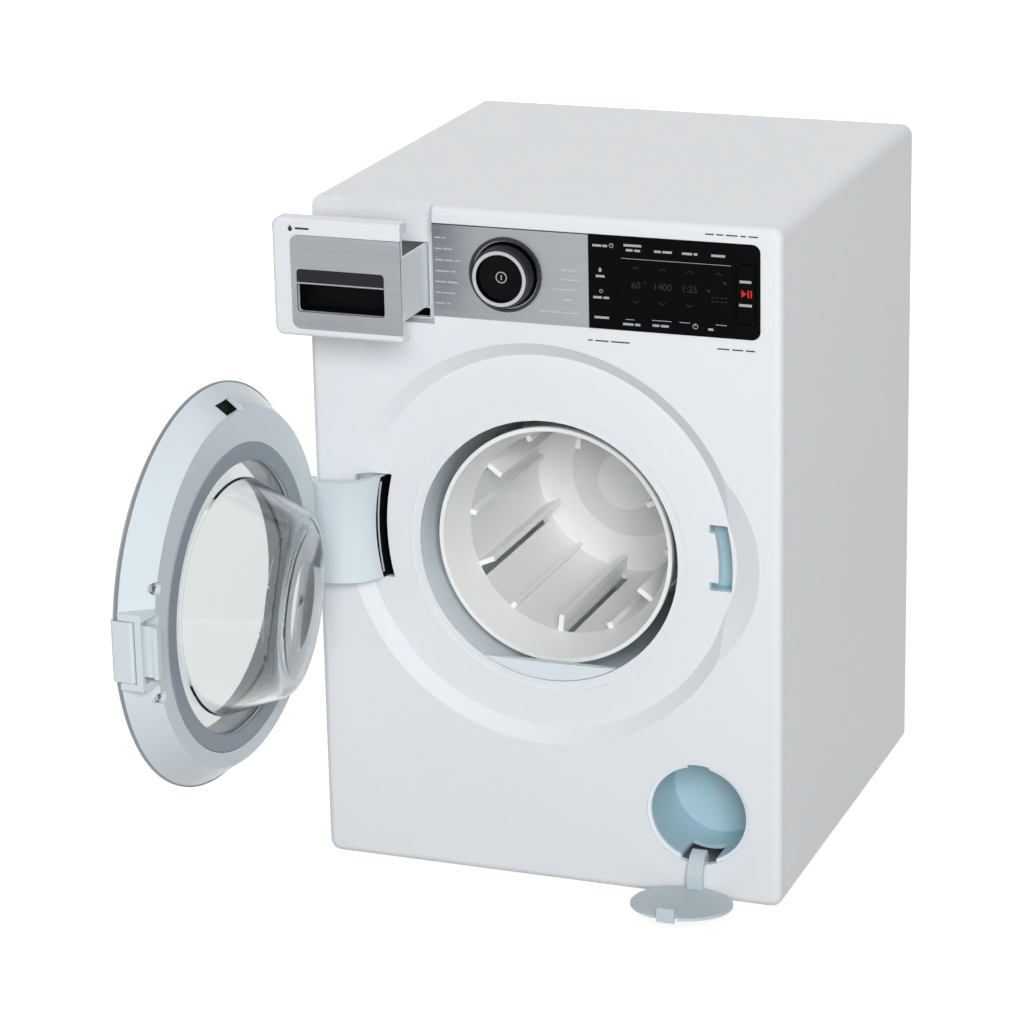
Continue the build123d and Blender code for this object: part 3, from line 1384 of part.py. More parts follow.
with BuildPart() as rear_cover:
    with BuildSketch(front(cover_front, 0, body_height / 2)):
        RectangleRounded(body_width - 2 * wall - 2 * gap, body_height - 2 * wall - 2 * gap,
                         corner_radius - wall)
    extrude(amount=-cover_thickness)
    with BuildSketch(front(cover_front)):
        with Locations((0, speaker_z)):
            Circle(speaker_radius + gap + speaker_ring)
            Circle(speaker_radius + gap, mode=Mode.SUBTRACT)
    extrude(amount=speaker_depth / 2)
    with BuildSketch(front(cover_front, 0, speaker_z)):
        Circle(grille_hole_radius)
        for ring in range(1, grille_rings + 1):
            with PolarLocations(ring * grille_pitch, 6 * ring):
                Circle(grille_hole_radius)
    extrude(amount=-cover_thickness, mode=Mode.SUBTRACT)
    with BuildSketch(front(cover_front)):
        with Locations(*post_places):
            Circle(screw_radius + gap)
        with Locations((0, battery_door_z)):
            Rectangle(battery_width + 2 * battery_door_rebate, battery_door_height)
    extrude(amount=-cover_thickness, mode=Mode.SUBTRACT)
save(rear_cover.part, "rear_cover")
save_screws("cover_screws", cover_back, post_places)

with BuildPart() as battery_box:
    with BuildSketch(front(cover_front, 0, battery_z)):
        Rectangle(battery_width + 2 * battery_box_wall, battery_height + 2 * battery_box_wall)
    extrude(amount=battery_box_depth + battery_box_wall)
    with BuildSketch(front(cover_front)):
        with Locations((0, battery_boss_z)):
            Circle(battery_boss_radius)
    extrude(amount=battery_boss_depth)
    for side in (-1, 1):
        ear_x = side * (battery_width / 2 + battery_box_wall + battery_ear / 2)
        with BuildSketch(front(cover_front, ear_x, battery_z)):
            Rectangle(battery_ear, battery_height)
        extrude(amount=battery_box_wall)
    with BuildSketch(front(cover_front, 0, battery_z)):
        Rectangle(battery_width, battery_height)
    extrude(amount=battery_box_depth, mode=Mode.SUBTRACT)
    with BuildSketch(front(cover_front, 0, battery_boss_z)):
        Circle(screw_radius + thread_clearance)
    extrude(amount=battery_boss_depth - battery_box_wall, mode=Mode.SUBTRACT)
save(battery_box.part, "battery_box")

cell_places = [battery_z + (row - (cell_count - 1) / 2) * cell_pitch for row in range(cell_count)]
cell_depth = cover_front - battery_box_depth / 2

with BuildPart() as batteries:
    for row, cell_z in enumerate(cell_places):
        end = 1 if row % 2 else -1
        with BuildSketch(Plane.YZ.offset(-end * cell_length / 2)):
            with Locations((front_y + cell_depth, cell_z)):
                Circle(cell_radius)
        extrude(amount=end * (cell_length - cell_tip_length))
        with BuildSketch(Plane.YZ.offset(end * cell_length / 2)):
            with Locations((front_y + cell_depth, cell_z)):
                Circle(cell_tip_radius)
        extrude(amount=-end * 2 * cell_tip_length)
save(batteries.part, "batteries")

with BuildPart() as battery_contacts:
    for cell_z in cell_places:
        for side in (-1, 1):
            with BuildSketch(Plane.YZ.offset(side * (cell_length / 2 + seam + contact_thickness / 2))):
                with Locations((front_y + cell_depth, cell_z)):
                    Rectangle(contact_size, contact_size)
            extrude(amount=contact_thickness / 2, both=True)
save(battery_contacts.part, "battery_contacts")

with BuildPart() as battery_door:
    with BuildSketch(front(cover_front, 0, battery_door_z)):
        Rectangle(battery_width + 2 * battery_door_rebate - 2 * gap, battery_door_height - 2 * gap)
    extrude(amount=-cover_thickness)
    with BuildSketch(front(cover_front, 0, battery_boss_z)):
        Circle(screw_radius + gap)
    extrude(amount=-cover_thickness, mode=Mode.SUBTRACT)
    with BuildSketch(front(cover_back, 0, battery_boss_z)):
        Circle(screw_head_radius + gap)
    extrude(amount=screw_head_height, mode=Mode.SUBTRACT)
save(battery_door.part, "battery_door")
save_screws("battery_door_screw", cover_back - screw_head_height, [(0, battery_boss_z)],
            cover_thickness - screw_head_height + battery_boss_depth / 2)

with BuildPart() as speaker:
    with BuildSketch(front(cover_front, 0, speaker_z)):
        Circle(speaker_radius)
    extrude(amount=speaker_rim)
    with Locations(front(cover_front - speaker_rim, 0, speaker_z)):
        Cone(speaker_radius - speaker_rim, speaker_magnet_radius, speaker_depth - 2 * speaker_rim,
             align=from_back)
    with BuildSketch(front(cover_front - speaker_depth + speaker_rim, 0, speaker_z)):
        Circle(speaker_magnet_radius)
    extrude(amount=speaker_depth / 2)
save(speaker.part, "speaker")
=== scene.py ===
"""Toy washing machine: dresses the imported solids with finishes, graphics and fine trim."""

from __future__ import annotations

import logging
import math
from dataclasses import dataclass, field
from enum import Enum
from typing import Callable, ClassVar, Iterable, Sequence

import bmesh
import bpy
from mathutils import Matrix, Vector

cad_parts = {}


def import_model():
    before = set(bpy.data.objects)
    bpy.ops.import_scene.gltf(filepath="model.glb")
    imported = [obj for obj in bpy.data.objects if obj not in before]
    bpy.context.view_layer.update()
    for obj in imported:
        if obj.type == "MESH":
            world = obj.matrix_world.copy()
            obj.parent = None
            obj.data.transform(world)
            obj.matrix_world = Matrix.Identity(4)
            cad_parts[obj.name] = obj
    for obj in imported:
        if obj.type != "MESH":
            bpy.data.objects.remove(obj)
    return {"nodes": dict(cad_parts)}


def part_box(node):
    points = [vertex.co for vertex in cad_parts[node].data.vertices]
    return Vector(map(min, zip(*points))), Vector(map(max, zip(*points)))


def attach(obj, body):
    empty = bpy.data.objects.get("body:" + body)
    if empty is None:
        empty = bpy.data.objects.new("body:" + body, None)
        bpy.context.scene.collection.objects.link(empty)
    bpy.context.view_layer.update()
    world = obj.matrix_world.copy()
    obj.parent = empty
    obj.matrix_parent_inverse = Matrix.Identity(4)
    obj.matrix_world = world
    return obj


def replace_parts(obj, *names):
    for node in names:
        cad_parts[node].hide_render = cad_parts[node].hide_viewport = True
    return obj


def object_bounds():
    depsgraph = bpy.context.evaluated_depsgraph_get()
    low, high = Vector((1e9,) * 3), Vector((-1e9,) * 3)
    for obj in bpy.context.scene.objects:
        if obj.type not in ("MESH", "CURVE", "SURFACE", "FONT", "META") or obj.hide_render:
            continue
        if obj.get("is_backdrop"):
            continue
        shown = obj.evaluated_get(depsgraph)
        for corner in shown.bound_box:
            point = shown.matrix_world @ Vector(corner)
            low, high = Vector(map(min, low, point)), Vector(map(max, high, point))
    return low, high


LOG = logging.getLogger("toy_washer")
MM = 0.001
Colour = tuple[float, float, float]
Point2 = tuple[float, float]


# ------------------------------------------------------------------------ shared places


@dataclass(frozen=True)
class Place:
    """A working plane on the machine: across, up, and out of the surface.

    Args:
        origin: where the plane's own (0, 0, 0) lies, in metres.
        across: unit direction of the first axis.
        up: unit direction of the second axis.
    """

    origin: Vector
    across: Vector
    up: Vector

    @property
    def out(self) -> Vector:
        """Unit direction that leaves the surface."""
        return self.across.cross(self.up)

    def matrix(self) -> Matrix:
        """Return the matrix from the plane's own axes to the machine's."""
        turn = Matrix((self.across, self.up, self.out)).transposed()
        return Matrix.Translation(self.origin) @ turn.to_4x4()

    def moved(self, across: float = 0.0, up: float = 0.0, out: float = 0.0) -> Place:
        """Return the same plane moved along its own axes, in metres."""
        origin = self.origin + self.across * across + self.up * up + self.out * out
        return Place(origin, self.across, self.up)


def front_place(x: float, y: float, z: float) -> Place:
    """Return a plane that faces the user, with its origin at (x, y, z) in metres."""
    return Place(Vector((x, y, z)), Vector((1, 0, 0)), Vector((0, 0, 1)))


def node_centre(node: str) -> Vector:
    """Return the middle of a CAD node's box, in metres."""
    low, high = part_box(node)
    return (low + high) / 2


# ------------------------------------------------------------------------- node groups


class Effect(Enum):
    """Surface effects that several finishes share, by node group name."""

    MOULDED = "moulded_skin"
    BRUSHED = "brushed_grain"
    FLAKE = "paint_flake"


def new_group(effect: Effect, inputs: Sequence[tuple[str, float]]) -> bpy.types.NodeTree:
    """Start a shader node group with float inputs and mask outputs.

    Args:
        effect: which effect the group makes.
        inputs: socket names with their default values.

    Returns:
        The new group, with its input and output nodes named "in" and "out".
    """
    group = bpy.data.node_groups.new(effect.value, "ShaderNodeTree")
    for name, value in inputs:
        socket = group.interface.new_socket(name, in_out="INPUT", socket_type="NodeSocketFloat")
        socket.default_value = value
    for name in ("Mask", "Height"):
        group.interface.new_socket(name, in_out="OUTPUT", socket_type="NodeSocketFloat")
    group.nodes.new("NodeGroupInput").name = "in"
    group.nodes.new("NodeGroupOutput").name = "out"
    return group


def stretched_noise(group: bpy.types.NodeTree, stretch: Colour, scale: str, detail: float
                    ) -> bpy.types.Node:
    """Add a noise that reads Object coordinates, stretched along the machine's axes.

    Args:
        group: the node group to add to.
        stretch: scale of each axis before the noise.
        scale: name of the group's input that sets the noise scale.
        detail: octaves of the noise.

    Returns:
        The noise node.
    """
    where = group.nodes.new("ShaderNodeTexCoord")
    mapping = group.nodes.new("ShaderNodeMapping")
    mapping.inputs["Scale"].default_value = stretch
    noise = group.nodes.new("ShaderNodeTexNoise")
    noise.inputs["Detail"].default_value = detail
    group.links.new(where.outputs["Object"], mapping.inputs["Vector"])
    group.links.new(mapping.outputs["Vector"], noise.inputs["Vector"])
    group.links.new(group.nodes["in"].outputs[scale], noise.inputs["Scale"])
    return noise


def build_moulded_group() -> bpy.types.NodeTree:
    """Build the skin of injection-moulded plastic: slow flow marks and a fine orange peel."""
    group = new_group(Effect.MOULDED, (("Flow Scale", 18.0), ("Peel Scale", 700.0)))
    flow = stretched_noise(group, (1.0, 1.0, 0.55), "Flow Scale", 3.0)
    peel = stretched_noise(group, (1.0, 1.0, 1.0), "Peel Scale", 2.0)
    group.links.new(flow.outputs["Fac"], group.nodes["out"].inputs["Mask"])
    group.links.new(peel.outputs["Fac"], group.nodes["out"].inputs["Height"])
    return group


def build_brushed_group() -> bpy.types.NodeTree:
    """Build a brushed grain that runs across the machine."""
    group = new_group(Effect.BRUSHED, (("Streak Scale", 900.0), ("Cloud Scale", 30.0)))
    streak = stretched_noise(group, (0.02, 1.0, 1.0), "Streak Scale", 4.0)
    cloud = stretched_noise(group, (0.4, 1.0, 1.0), "Cloud Scale", 2.0)
    blend = group.nodes.new("ShaderNodeMath")
    blend.operation = "MULTIPLY_ADD"
    blend.inputs[1].default_value = 0.7
    half = group.nodes.new("ShaderNodeMath")
    half.operation = "MULTIPLY"
    half.inputs[1].default_value = 0.3
    group.links.new(cloud.outputs["Fac"], half.inputs[0])
    group.links.new(streak.outputs["Fac"], blend.inputs[0])
    group.links.new(half.outputs[0], blend.inputs[2])
    group.links.new(blend.outputs[0], group.nodes["out"].inputs["Mask"])
    group.links.new(streak.outputs["Fac"], group.nodes["out"].inputs["Height"])
    return group


def build_flake_group() -> bpy.types.NodeTree:
    """Build the sparkle of silver paint: one random value for each flake."""
    group = new_group(Effect.FLAKE, (("Flake Scale", 2600.0), ("Cloud Scale", 25.0)))
    where = group.nodes.new("ShaderNodeTexCoord")
    flakes = group.nodes.new("ShaderNodeTexVoronoi")
    group.links.new(where.outputs["Object"], flakes.inputs["Vector"])
    group.links.new(group.nodes["in"].outputs["Flake Scale"], flakes.inputs["Scale"])
    cloud = stretched_noise(group, (1.0, 1.0, 1.0), "Cloud Scale", 2.0)
    split = group.nodes.new("ShaderNodeSeparateColor")
    group.links.new(flakes.outputs["Color"], split.inputs["Color"])
    mean = group.nodes.new("ShaderNodeMix")
    mean.inputs["Factor"].default_value = 0.35
    group.links.new(cloud.outputs["Fac"], mean.inputs["A"])
    group.links.new(split.outputs["Red"], mean.inputs["B"])
    group.links.new(mean.outputs["Result"], group.nodes["out"].inputs["Mask"])
    group.links.new(split.outputs["Red"], group.nodes["out"].inputs["Height"])
    return group


GROUP_BUILDERS: dict[Effect, Callable[[], bpy.types.NodeTree]] = {
    Effect.MOULDED: build_moulded_group,
    Effect.BRUSHED: build_brushed_group,
    Effect.FLAKE: build_flake_group,
}


# ---------------------------------------------------------------------------- finishes


@dataclass(frozen=True)
class Finish:
    """One finish: a shader whose colour, roughness and bump follow a shared effect.

    Args:
        name: the finish's name.
        light: colour where the effect's mask is high.
        dark: colour where the mask is low.
        rough: lowest and highest roughness.
        bump: height of the effect in millimetres.
        effect: the shared effect that varies it.
        sizes: the effect's input values, by socket name.
        metallic: how metallic the shader is.
        coat: weight of the clear coat.
        specular: strength of the reflection, 0.5 being that of common plastic.
        transmission: how clear the finish is.
        ior: index of refraction.
        subsurface: how far light spreads inside, in millimetres.
    """

    name: str
    light: Colour
    dark: Colour
    rough: tuple[float, float]
    bump: float = 0.004
    effect: Effect = Effect.MOULDED
    sizes: tuple[tuple[str, float], ...] = ()
    metallic: float = 0.0
    coat: float = 0.0
    specular: float = 0.5
    transmission: float = 0.0
    ior: float = 1.5
    subsurface: float = 0.0

    def build(self) -> bpy.types.Material:
        """Return the finish's material, built once.

        Returns:
            The material.
        """
        name = f"{self.name}_finish"
        known = bpy.data.materials.get(name)
        if known:
            return known
        material = bpy.data.materials.new(name)
        material.use_nodes = True
        tree = material.node_tree
        shader = tree.nodes["Principled BSDF"]
        group = bpy.data.node_groups.get(self.effect.value) or GROUP_BUILDERS[self.effect]()
        effect = tree.nodes.new("ShaderNodeGroup")
        effect.node_tree = group
        for socket, value in self.sizes:
            effect.inputs[socket].default_value = value
        self._colour(tree, shader, effect)
        self._roughness(tree, shader, effect)
        self._bump(tree, shader, effect)
        shader.inputs["Metallic"].default_value = self.metallic
        shader.inputs["Coat Weight"].default_value = self.coat
        shader.inputs["Coat Roughness"].default_value = 0.06
        shader.inputs["Specular IOR Level"].default_value = self.specular
        shader.inputs["Transmission Weight"].default_value = self.transmission
        shader.inputs["IOR"].default_value = self.ior
        if self.subsurface:
            shader.inputs["Subsurface Weight"].default_value = 0.2
            shader.inputs["Subsurface Scale"].default_value = self.subsurface * MM
        material.diffuse_color = (*self.light, 1.0)
        return material

    def _colour(self, tree: bpy.types.NodeTree, shader: bpy.types.Node,
                effect: bpy.types.Node) -> None:
        """Mix the two colours by the effect's mask."""
        mix = tree.nodes.new("ShaderNodeMix")
        mix.data_type = "RGBA"
        mix.inputs["A"].default_value = (*self.dark, 1.0)
        mix.inputs["B"].default_value = (*self.light, 1.0)
        tree.links.new(effect.outputs["Mask"], mix.inputs["Factor"])
        tree.links.new(mix.outputs["Result"], shader.inputs["Base Color"])

    def _roughness(self, tree: bpy.types.NodeTree, shader: bpy.types.Node,
                   effect: bpy.types.Node) -> None:
        """Spread the roughness between its two ends by the effect's mask."""
        spread = tree.nodes.new("ShaderNodeMapRange")
        spread.inputs["To Min"].default_value = self.rough[0]
        spread.inputs["To Max"].default_value = self.rough[1]
        tree.links.new(effect.outputs["Mask"], spread.inputs["Value"])
        tree.links.new(spread.outputs["Result"], shader.inputs["Roughness"])

    def _bump(self, tree: bpy.types.NodeTree, shader: bpy.types.Node,
              effect: bpy.types.Node) -> None:
        """Feed the effect's height to the normal."""
        bump = tree.nodes.new("ShaderNodeBump")
        bump.inputs["Distance"].default_value = self.bump * MM
        bump.inputs["Strength"].default_value = 1.0
        tree.links.new(effect.outputs["Height"], bump.inputs["Height"])
        tree.links.new(bump.outputs["Normal"], shader.inputs["Normal"])


def brushed(name: str, light: Colour, dark: Colour, rough: tuple[float, float],
            metallic: float = 0.85) -> Finish:
    """Return a brushed metallic finish."""
    return Finish(name, light, dark, rough, bump=0.003, effect=Effect.BRUSHED, metallic=metallic)


def painted(name: str, light: Colour, dark: Colour, rough: tuple[float, float],
            metallic: float = 0.7) -> Finish:
    """Return a silver-paint finish with flakes."""
    return Finish(name, light, dark, rough, bump=0.001, effect=Effect.FLAKE, metallic=metallic)


SHELL_WHITE = Finish("shell_white", (0.80, 0.83, 0.86), (0.795, 0.825, 0.855), (0.25, 0.28),
                     bump=0.003, subsurface=0.6)
INNER_WHITE = Finish("inner_white", (0.75, 0.82, 0.86), (0.73, 0.80, 0.85), (0.30, 0.36),
                     subsurface=0.6)
# Flap white: white plastic painted darker and bluer, as painted shade on the open flap.
FLAP_SHADED_WHITE = Finish("flap_shaded_white", (0.58, 0.66, 0.70), (0.55, 0.63, 0.675), (0.22, 0.34),
                    subsurface=0.5)
DRUM_WHITE = Finish("drum_white", (0.88, 0.89, 0.88), (0.86, 0.87, 0.86), (0.32, 0.38),
                    subsurface=0.8)
# Door white: the shell's white painted darker and bluer, as painted shade on the door at this
# light.
DOOR_SHADED_WHITE = Finish("door_shaded_white", (0.66, 0.735, 0.78), (0.645, 0.72, 0.765), (0.20, 0.26))
# Pale blue: the service cup's own plastic colour; on the catch box, a white part in a recess, the
# same blue is painted shade.
PALE_BLUE_AND_SHADE = Finish("pale_blue", (0.44, 0.61, 0.68), (0.42, 0.59, 0.665), (0.28, 0.36),
                   subsurface=0.5)
SILVER = painted("silver", (0.30, 0.31, 0.32), (0.22, 0.23, 0.24), (0.26, 0.38))
FASCIA_SILVER = brushed("fascia_silver", (0.46, 0.485, 0.51), (0.30, 0.32, 0.345), (0.32, 0.44))
CHROME = Finish("chrome", (0.50, 0.51, 0.53), (0.44, 0.45, 0.47), (0.20, 0.28), bump=0.0006,
                metallic=1.0)
DARK_CHROME = Finish("dark_chrome", (0.055, 0.058, 0.062), (0.035, 0.037, 0.04), (0.08, 0.18),
                     bump=0.0006, metallic=1.0)
BLACK_CHROME = Finish("black_chrome", (0.018, 0.018, 0.02), (0.012, 0.012, 0.013),
                      (0.06, 0.12), bump=0.0006, metallic=0.7)
GLOSS_BLACK = Finish("gloss_black", (0.003, 0.003, 0.0035), (0.002, 0.002, 0.0025),
                     (0.05, 0.10), bump=0.0005, specular=0.03)
# Satin black: the own colour of real black parts; on the hinge arm's inner end it is painted
# shade.
SATIN_BLACK_AND_SHADE = Finish("satin_black", (0.006, 0.006, 0.007), (0.004, 0.004, 0.005),
                     (0.30, 0.42), specular=0.04)
SEAL_GREY = Finish("seal_grey", (0.30, 0.35, 0.40), (0.26, 0.31, 0.36), (0.38, 0.52),
                   bump=0.006)
CLEAR = Finish("clear", (0.69, 0.70, 0.71), (0.67, 0.72, 0.73), (0.02, 0.06), bump=0.006,
               sizes=(("Peel Scale", 90.0),), transmission=1.0, ior=1.49)
STEEL = brushed("steel", (0.55, 0.55, 0.56), (0.38, 0.38, 0.40), (0.22, 0.38), metallic=1.0)
GEAR_PLASTIC = Finish("gear_plastic", (0.72, 0.70, 0.62), (0.66, 0.64, 0.56), (0.38, 0.52))
BUSH_PLASTIC = Finish("bush_plastic", (0.10, 0.10, 0.11), (0.07, 0.07, 0.08), (0.40, 0.55))
BOARD_GREEN = Finish("board_green", (0.02, 0.11, 0.05), (0.01, 0.07, 0.03), (0.30, 0.45),
                     effect=Effect.BRUSHED)
CELL_WRAP = painted("cell_wrap", (0.05, 0.055, 0.065), (0.03, 0.035, 0.04), (0.25, 0.4))
SPEAKER_BLACK = Finish("speaker_black", (0.03, 0.03, 0.03), (0.015, 0.015, 0.015), (0.6, 0.8),
                       bump=0.03)
# White ink of the labels; also the colour of the painted highlight along the display window's top.
PRINT_WHITE_AND_HIGHLIGHT = Finish("print_white_and_highlight", (0.42, 0.44, 0.46), (0.36, 0.38, 0.40), (0.4, 0.5))
PRINT_DIM = Finish("print_dim", (0.035, 0.037, 0.040), (0.026, 0.028, 0.030), (0.4, 0.5),
                   specular=0.1)
PRINT_PALE = Finish("print_pale", (0.56, 0.60, 0.64), (0.50, 0.54, 0.58), (0.4, 0.5))
# Black ink of the marks; also the painted shade in the gap along the fascia's top.
PRINT_BLACK_AND_SHADE = Finish("print_black_and_shade", (0.02, 0.02, 0.02), (0.012, 0.012, 0.012), (0.4, 0.5))
PRINT_RED = Finish("print_red", (0.62, 0.012, 0.012), (0.50, 0.008, 0.008), (0.35, 0.45))


# ----------------------------------------------------------------------- mesh workshop


def add_piece(name: str, mesh: bpy.types.Mesh, finish: Finish, body: str
              ) -> bpy.types.Object:
    """Put a finished mesh in the scene, riding on a body.

    Args:
        name: the piece's name.
        mesh: its mesh, in the machine's frame.
        finish: its finish.
        body: the CAD body that it rides on.

    Returns:
        The piece.
    """
    mesh.name = name
    mesh.materials.clear()
    mesh.materials.append(finish.build())
    piece = bpy.data.objects.new(name, mesh)
    bpy.context.scene.collection.objects.link(piece)
    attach(piece, body)
    LOG.info("piece %s rides on %s, %d faces", name, body, len(mesh.polygons))
    return piece


def mesh_from(work: bmesh.types.BMesh, name: str) -> bpy.types.Mesh:
    """Turn a working mesh into a mesh block, with its normals pointing out."""
    bmesh.ops.recalc_face_normals(work, faces=work.faces)
    mesh = bpy.data.meshes.new(name)
    work.to_mesh(mesh)
    work.free()
    return mesh


def plates(outlines: Iterable[Sequence[Point2]], place: Place, thickness: float,
           bevel: float = 0.0) -> bpy.types.Mesh:
    """Raise flat outlines into thin closed plates.

    Args:
        outlines: closed outlines, anticlockwise, in millimetres on the plane.
        place: the plane that they lie on.
        thickness: how far they stand out of it, in millimetres.
        bevel: width of the chamfer round each plate's front, in millimetres.

    Returns:
        One mesh of all the plates.
    """
    work = bmesh.new()
    fronts = []
    for outline in outlines:
        low = [work.verts.new((x * MM, y * MM, 0)) for x, y in outline]
        high = [work.verts.new((x * MM, y * MM, thickness * MM)) for x, y in outline]
        work.faces.new(list(reversed(low)))
        fronts.append(work.faces.new(high))
        for i in range(len(low)):
            j = (i + 1) % len(low)
            work.faces.new((low[i], low[j], high[j], high[i]))
    if bevel:
        rims = [edge for face in fronts for edge in face.edges]
        bmesh.ops.bevel(work, geom=rims, offset=bevel * MM, segments=2, affect="EDGES")
    work.transform(place.matrix())
    return mesh_from(work, "plates")


def rounded_rectangle(x: float, y: float, width: float, height: float, radius: float,
                      steps: int = 5) -> list[Point2]:
    """Return the outline of a rectangle with round corners, centred on (x, y)."""
    outline = []
    for corner in range(4):
        sx, sy = ((1, 1), (-1, 1), (-1, -1), (1, -1))[corner]
        cx, cy = x + sx * (width / 2 - radius), y + sy * (height / 2 - radius)
        for i in range(steps + 1):
            angle = math.radians(90 * (corner + i / steps))
            outline.append((cx + radius * math.cos(angle), cy + radius * math.sin(angle)))
    return outline


def ring_strip(x: float, y: float, radius: float, width: float, start: float = 0.0,
               end: float = 359.9, steps: int = 40) -> list[Point2]:
    """Return the outline of a flat arc of a ring, with angles in degrees."""
    angles = [math.radians(start + (end - start) * i / steps) for i in range(steps + 1)]
    outer = [(x + (radius + width / 2) * math.cos(a), y + (radius + width / 2) * math.sin(a))
             for a in angles]
    inner = [(x + (radius - width / 2) * math.cos(a), y + (radius - width / 2) * math.sin(a))
             for a in reversed(angles)]
    return outer + inner


def chevron(x: float, y: float, width: float, rise: float, line: float) -> list[Point2]:
    """Return the outline of an arrow head without a shaft; a negative rise points down."""
    half, thick = width / 2, math.copysign(line, rise)
    outline = [(x - half, y), (x - half, y - thick), (x, y + rise - thick), (x + half, y - thick),
               (x + half, y), (x, y + rise)]
    return outline if rise > 0 else list(reversed(outline))


def droplet(x: float, y: float, radius: float, steps: int = 18) -> list[Point2]:
    """Return the outline of a water drop whose round part is centred on (x, y)."""
    lean = math.radians(30)
    span = math.pi + 2 * lean
    arc = [math.pi - lean + span * i / steps for i in range(steps + 1)]
    return [(x + radius * math.cos(a), y + radius * math.sin(a)) for a in arc] + [
        (x, y + 2.0 * radius)]


def figures(text: str, size: float, place: Place, thickness: float) -> bpy.types.Mesh:
    """Make plain figures as a thin raised print.

    Args:
        text: the figures.
        size: letter size in millimetres.
        place: the plane, with the text centred on its origin.
        thickness: how far the print stands out, in millimetres.

    Returns:
        The mesh of the print.
    """
    curve = bpy.data.curves.new("figures", "FONT")
    curve.body = text
    curve.size = size * MM
    curve.extrude = thickness * MM / 2
    curve.align_x = "CENTER"
    curve.align_y = "CENTER"
    curve.resolution_u = 3
    holder = bpy.data.objects.new("figures", curve)
    bpy.context.scene.collection.objects.link(holder)
    graph = bpy.context.evaluated_depsgraph_get()
    mesh = bpy.data.meshes.new_from_object(holder.evaluated_get(graph))
    bpy.data.objects.remove(holder)
    mesh.transform(place.moved(out=thickness * MM / 2).matrix())
    return mesh


def joined(meshes: Iterable[bpy.types.Mesh]) -> bpy.types.Mesh:
    """Merge several meshes into one."""
    work = bmesh.new()
    for mesh in meshes:
        work.from_mesh(mesh)
        bpy.data.meshes.remove(mesh)
    merged = bpy.data.meshes.new("joined")
    work.to_mesh(merged)
    work.free()
    return merged


# ---------------------------------------------------------------------- geometry nodes


@dataclass
class Grower:
    """A Geometry Nodes tree that grows finished pieces on the points of a seed mesh.

    Args:
        name: the tree's name.
        inputs: socket types of the named inputs after the geometry.
    """

    name: str
    inputs: dict[str, str]
    tree: bpy.types.NodeTree = field(init=False)

    def __post_init__(self) -> None:
        """Start the tree with its sockets and wire it up."""
        self.tree = bpy.data.node_groups.new(self.name, "GeometryNodeTree")
        sockets = self.tree.interface
        sockets.new_socket("Geometry", in_out="OUTPUT", socket_type="NodeSocketGeometry")
        sockets.new_socket("Geometry", in_out="INPUT", socket_type="NodeSocketGeometry")
        for name, kind in self.inputs.items():
            sockets.new_socket(name, in_out="INPUT", socket_type=kind)
        self.entry = self.node("NodeGroupInput")
        self.wire()

    def wire(self) -> None:
        """Wire the tree; each kind of grower has its own."""
        raise NotImplementedError

    def node(self, kind: str, links: dict[str | int, bpy.types.NodeSocket | object] | None = None,
             **settings: object) -> bpy.types.Node:
        """Add a node.

        Args:
            kind: the node's type.
            links: what feeds each input, either a socket or a plain value.
            settings: the node's own properties.

        Returns:
            The node.
        """
        made = self.tree.nodes.new(kind)
        for key, value in settings.items():
            setattr(made, key, value)
        for key, value in (links or {}).items():
            if isinstance(value, bpy.types.NodeSocket):
                self.tree.links.new(value, made.inputs[key])
            else:
                made.inputs[key].default_value = value
        return made

    def maths(self, operation: str, *values: bpy.types.NodeSocket | float
              ) -> bpy.types.NodeSocket:
        """Add a math node on sockets or numbers and return its result."""
        return self.node("ShaderNodeMath", dict(enumerate(values)), operation=operation).outputs[0]

    def finish(self, instances: bpy.types.NodeSocket) -> None:
        """Realize the instances, give them the finish, and end the tree."""
        real = self.node("GeometryNodeRealizeInstances", {"Geometry": instances})
        dressed = self.node("GeometryNodeSetMaterial", {
            "Geometry": real.outputs[0], "Material": self.entry.outputs["Finish"]})
        self.node("NodeGroupOutput", {"Geometry": dressed.outputs[0]})

    def grow(self, seeds: bpy.types.Mesh, **values: object) -> bpy.types.Mesh:
        """Run the tree on a seed mesh.

        Args:
            seeds: a mesh of loose points, which is used up.
            values: the named inputs, with "_" for a space.

        Returns:
            The plain mesh that the tree makes.
        """
        holder = bpy.data.objects.new(seeds.name, seeds)
        bpy.context.scene.collection.objects.link(holder)
        modifier = holder.modifiers.new(self.name, "NODES")
        modifier.node_group = self.tree
        sockets = {item.name: item.identifier for item in self.tree.interface.items_tree
                   if item.in_out == "INPUT"}
        for key, value in values.items():
            modifier[sockets[key.replace("_", " ")]] = value
        graph = bpy.context.evaluated_depsgraph_get()
        mesh = bpy.data.meshes.new_from_object(holder.evaluated_get(graph), depsgraph=graph)
        holder.modifiers.remove(modifier)
        bpy.data.objects.remove(holder)
        bpy.data.meshes.remove(seeds)
        return mesh


def seed_points(name: str, places: Sequence[Vector], **vectors: Sequence[Vector]
                ) -> bpy.types.Mesh:
    """Make a mesh of loose points that carry named vectors.

    Args:
        name: the mesh's name.
        places: the points, in metres.
        vectors: one list of vectors for each named attribute.

    Returns:
        The mesh.
    """
    mesh = bpy.data.meshes.new(name)
    mesh.from_pydata([tuple(place) for place in places], [], [])
    for key, values in vectors.items():
        attribute = mesh.attributes.new(key, "FLOAT_VECTOR", "POINT")
        for item, value in zip(attribute.data, values):
            item.vector = value
    return mesh


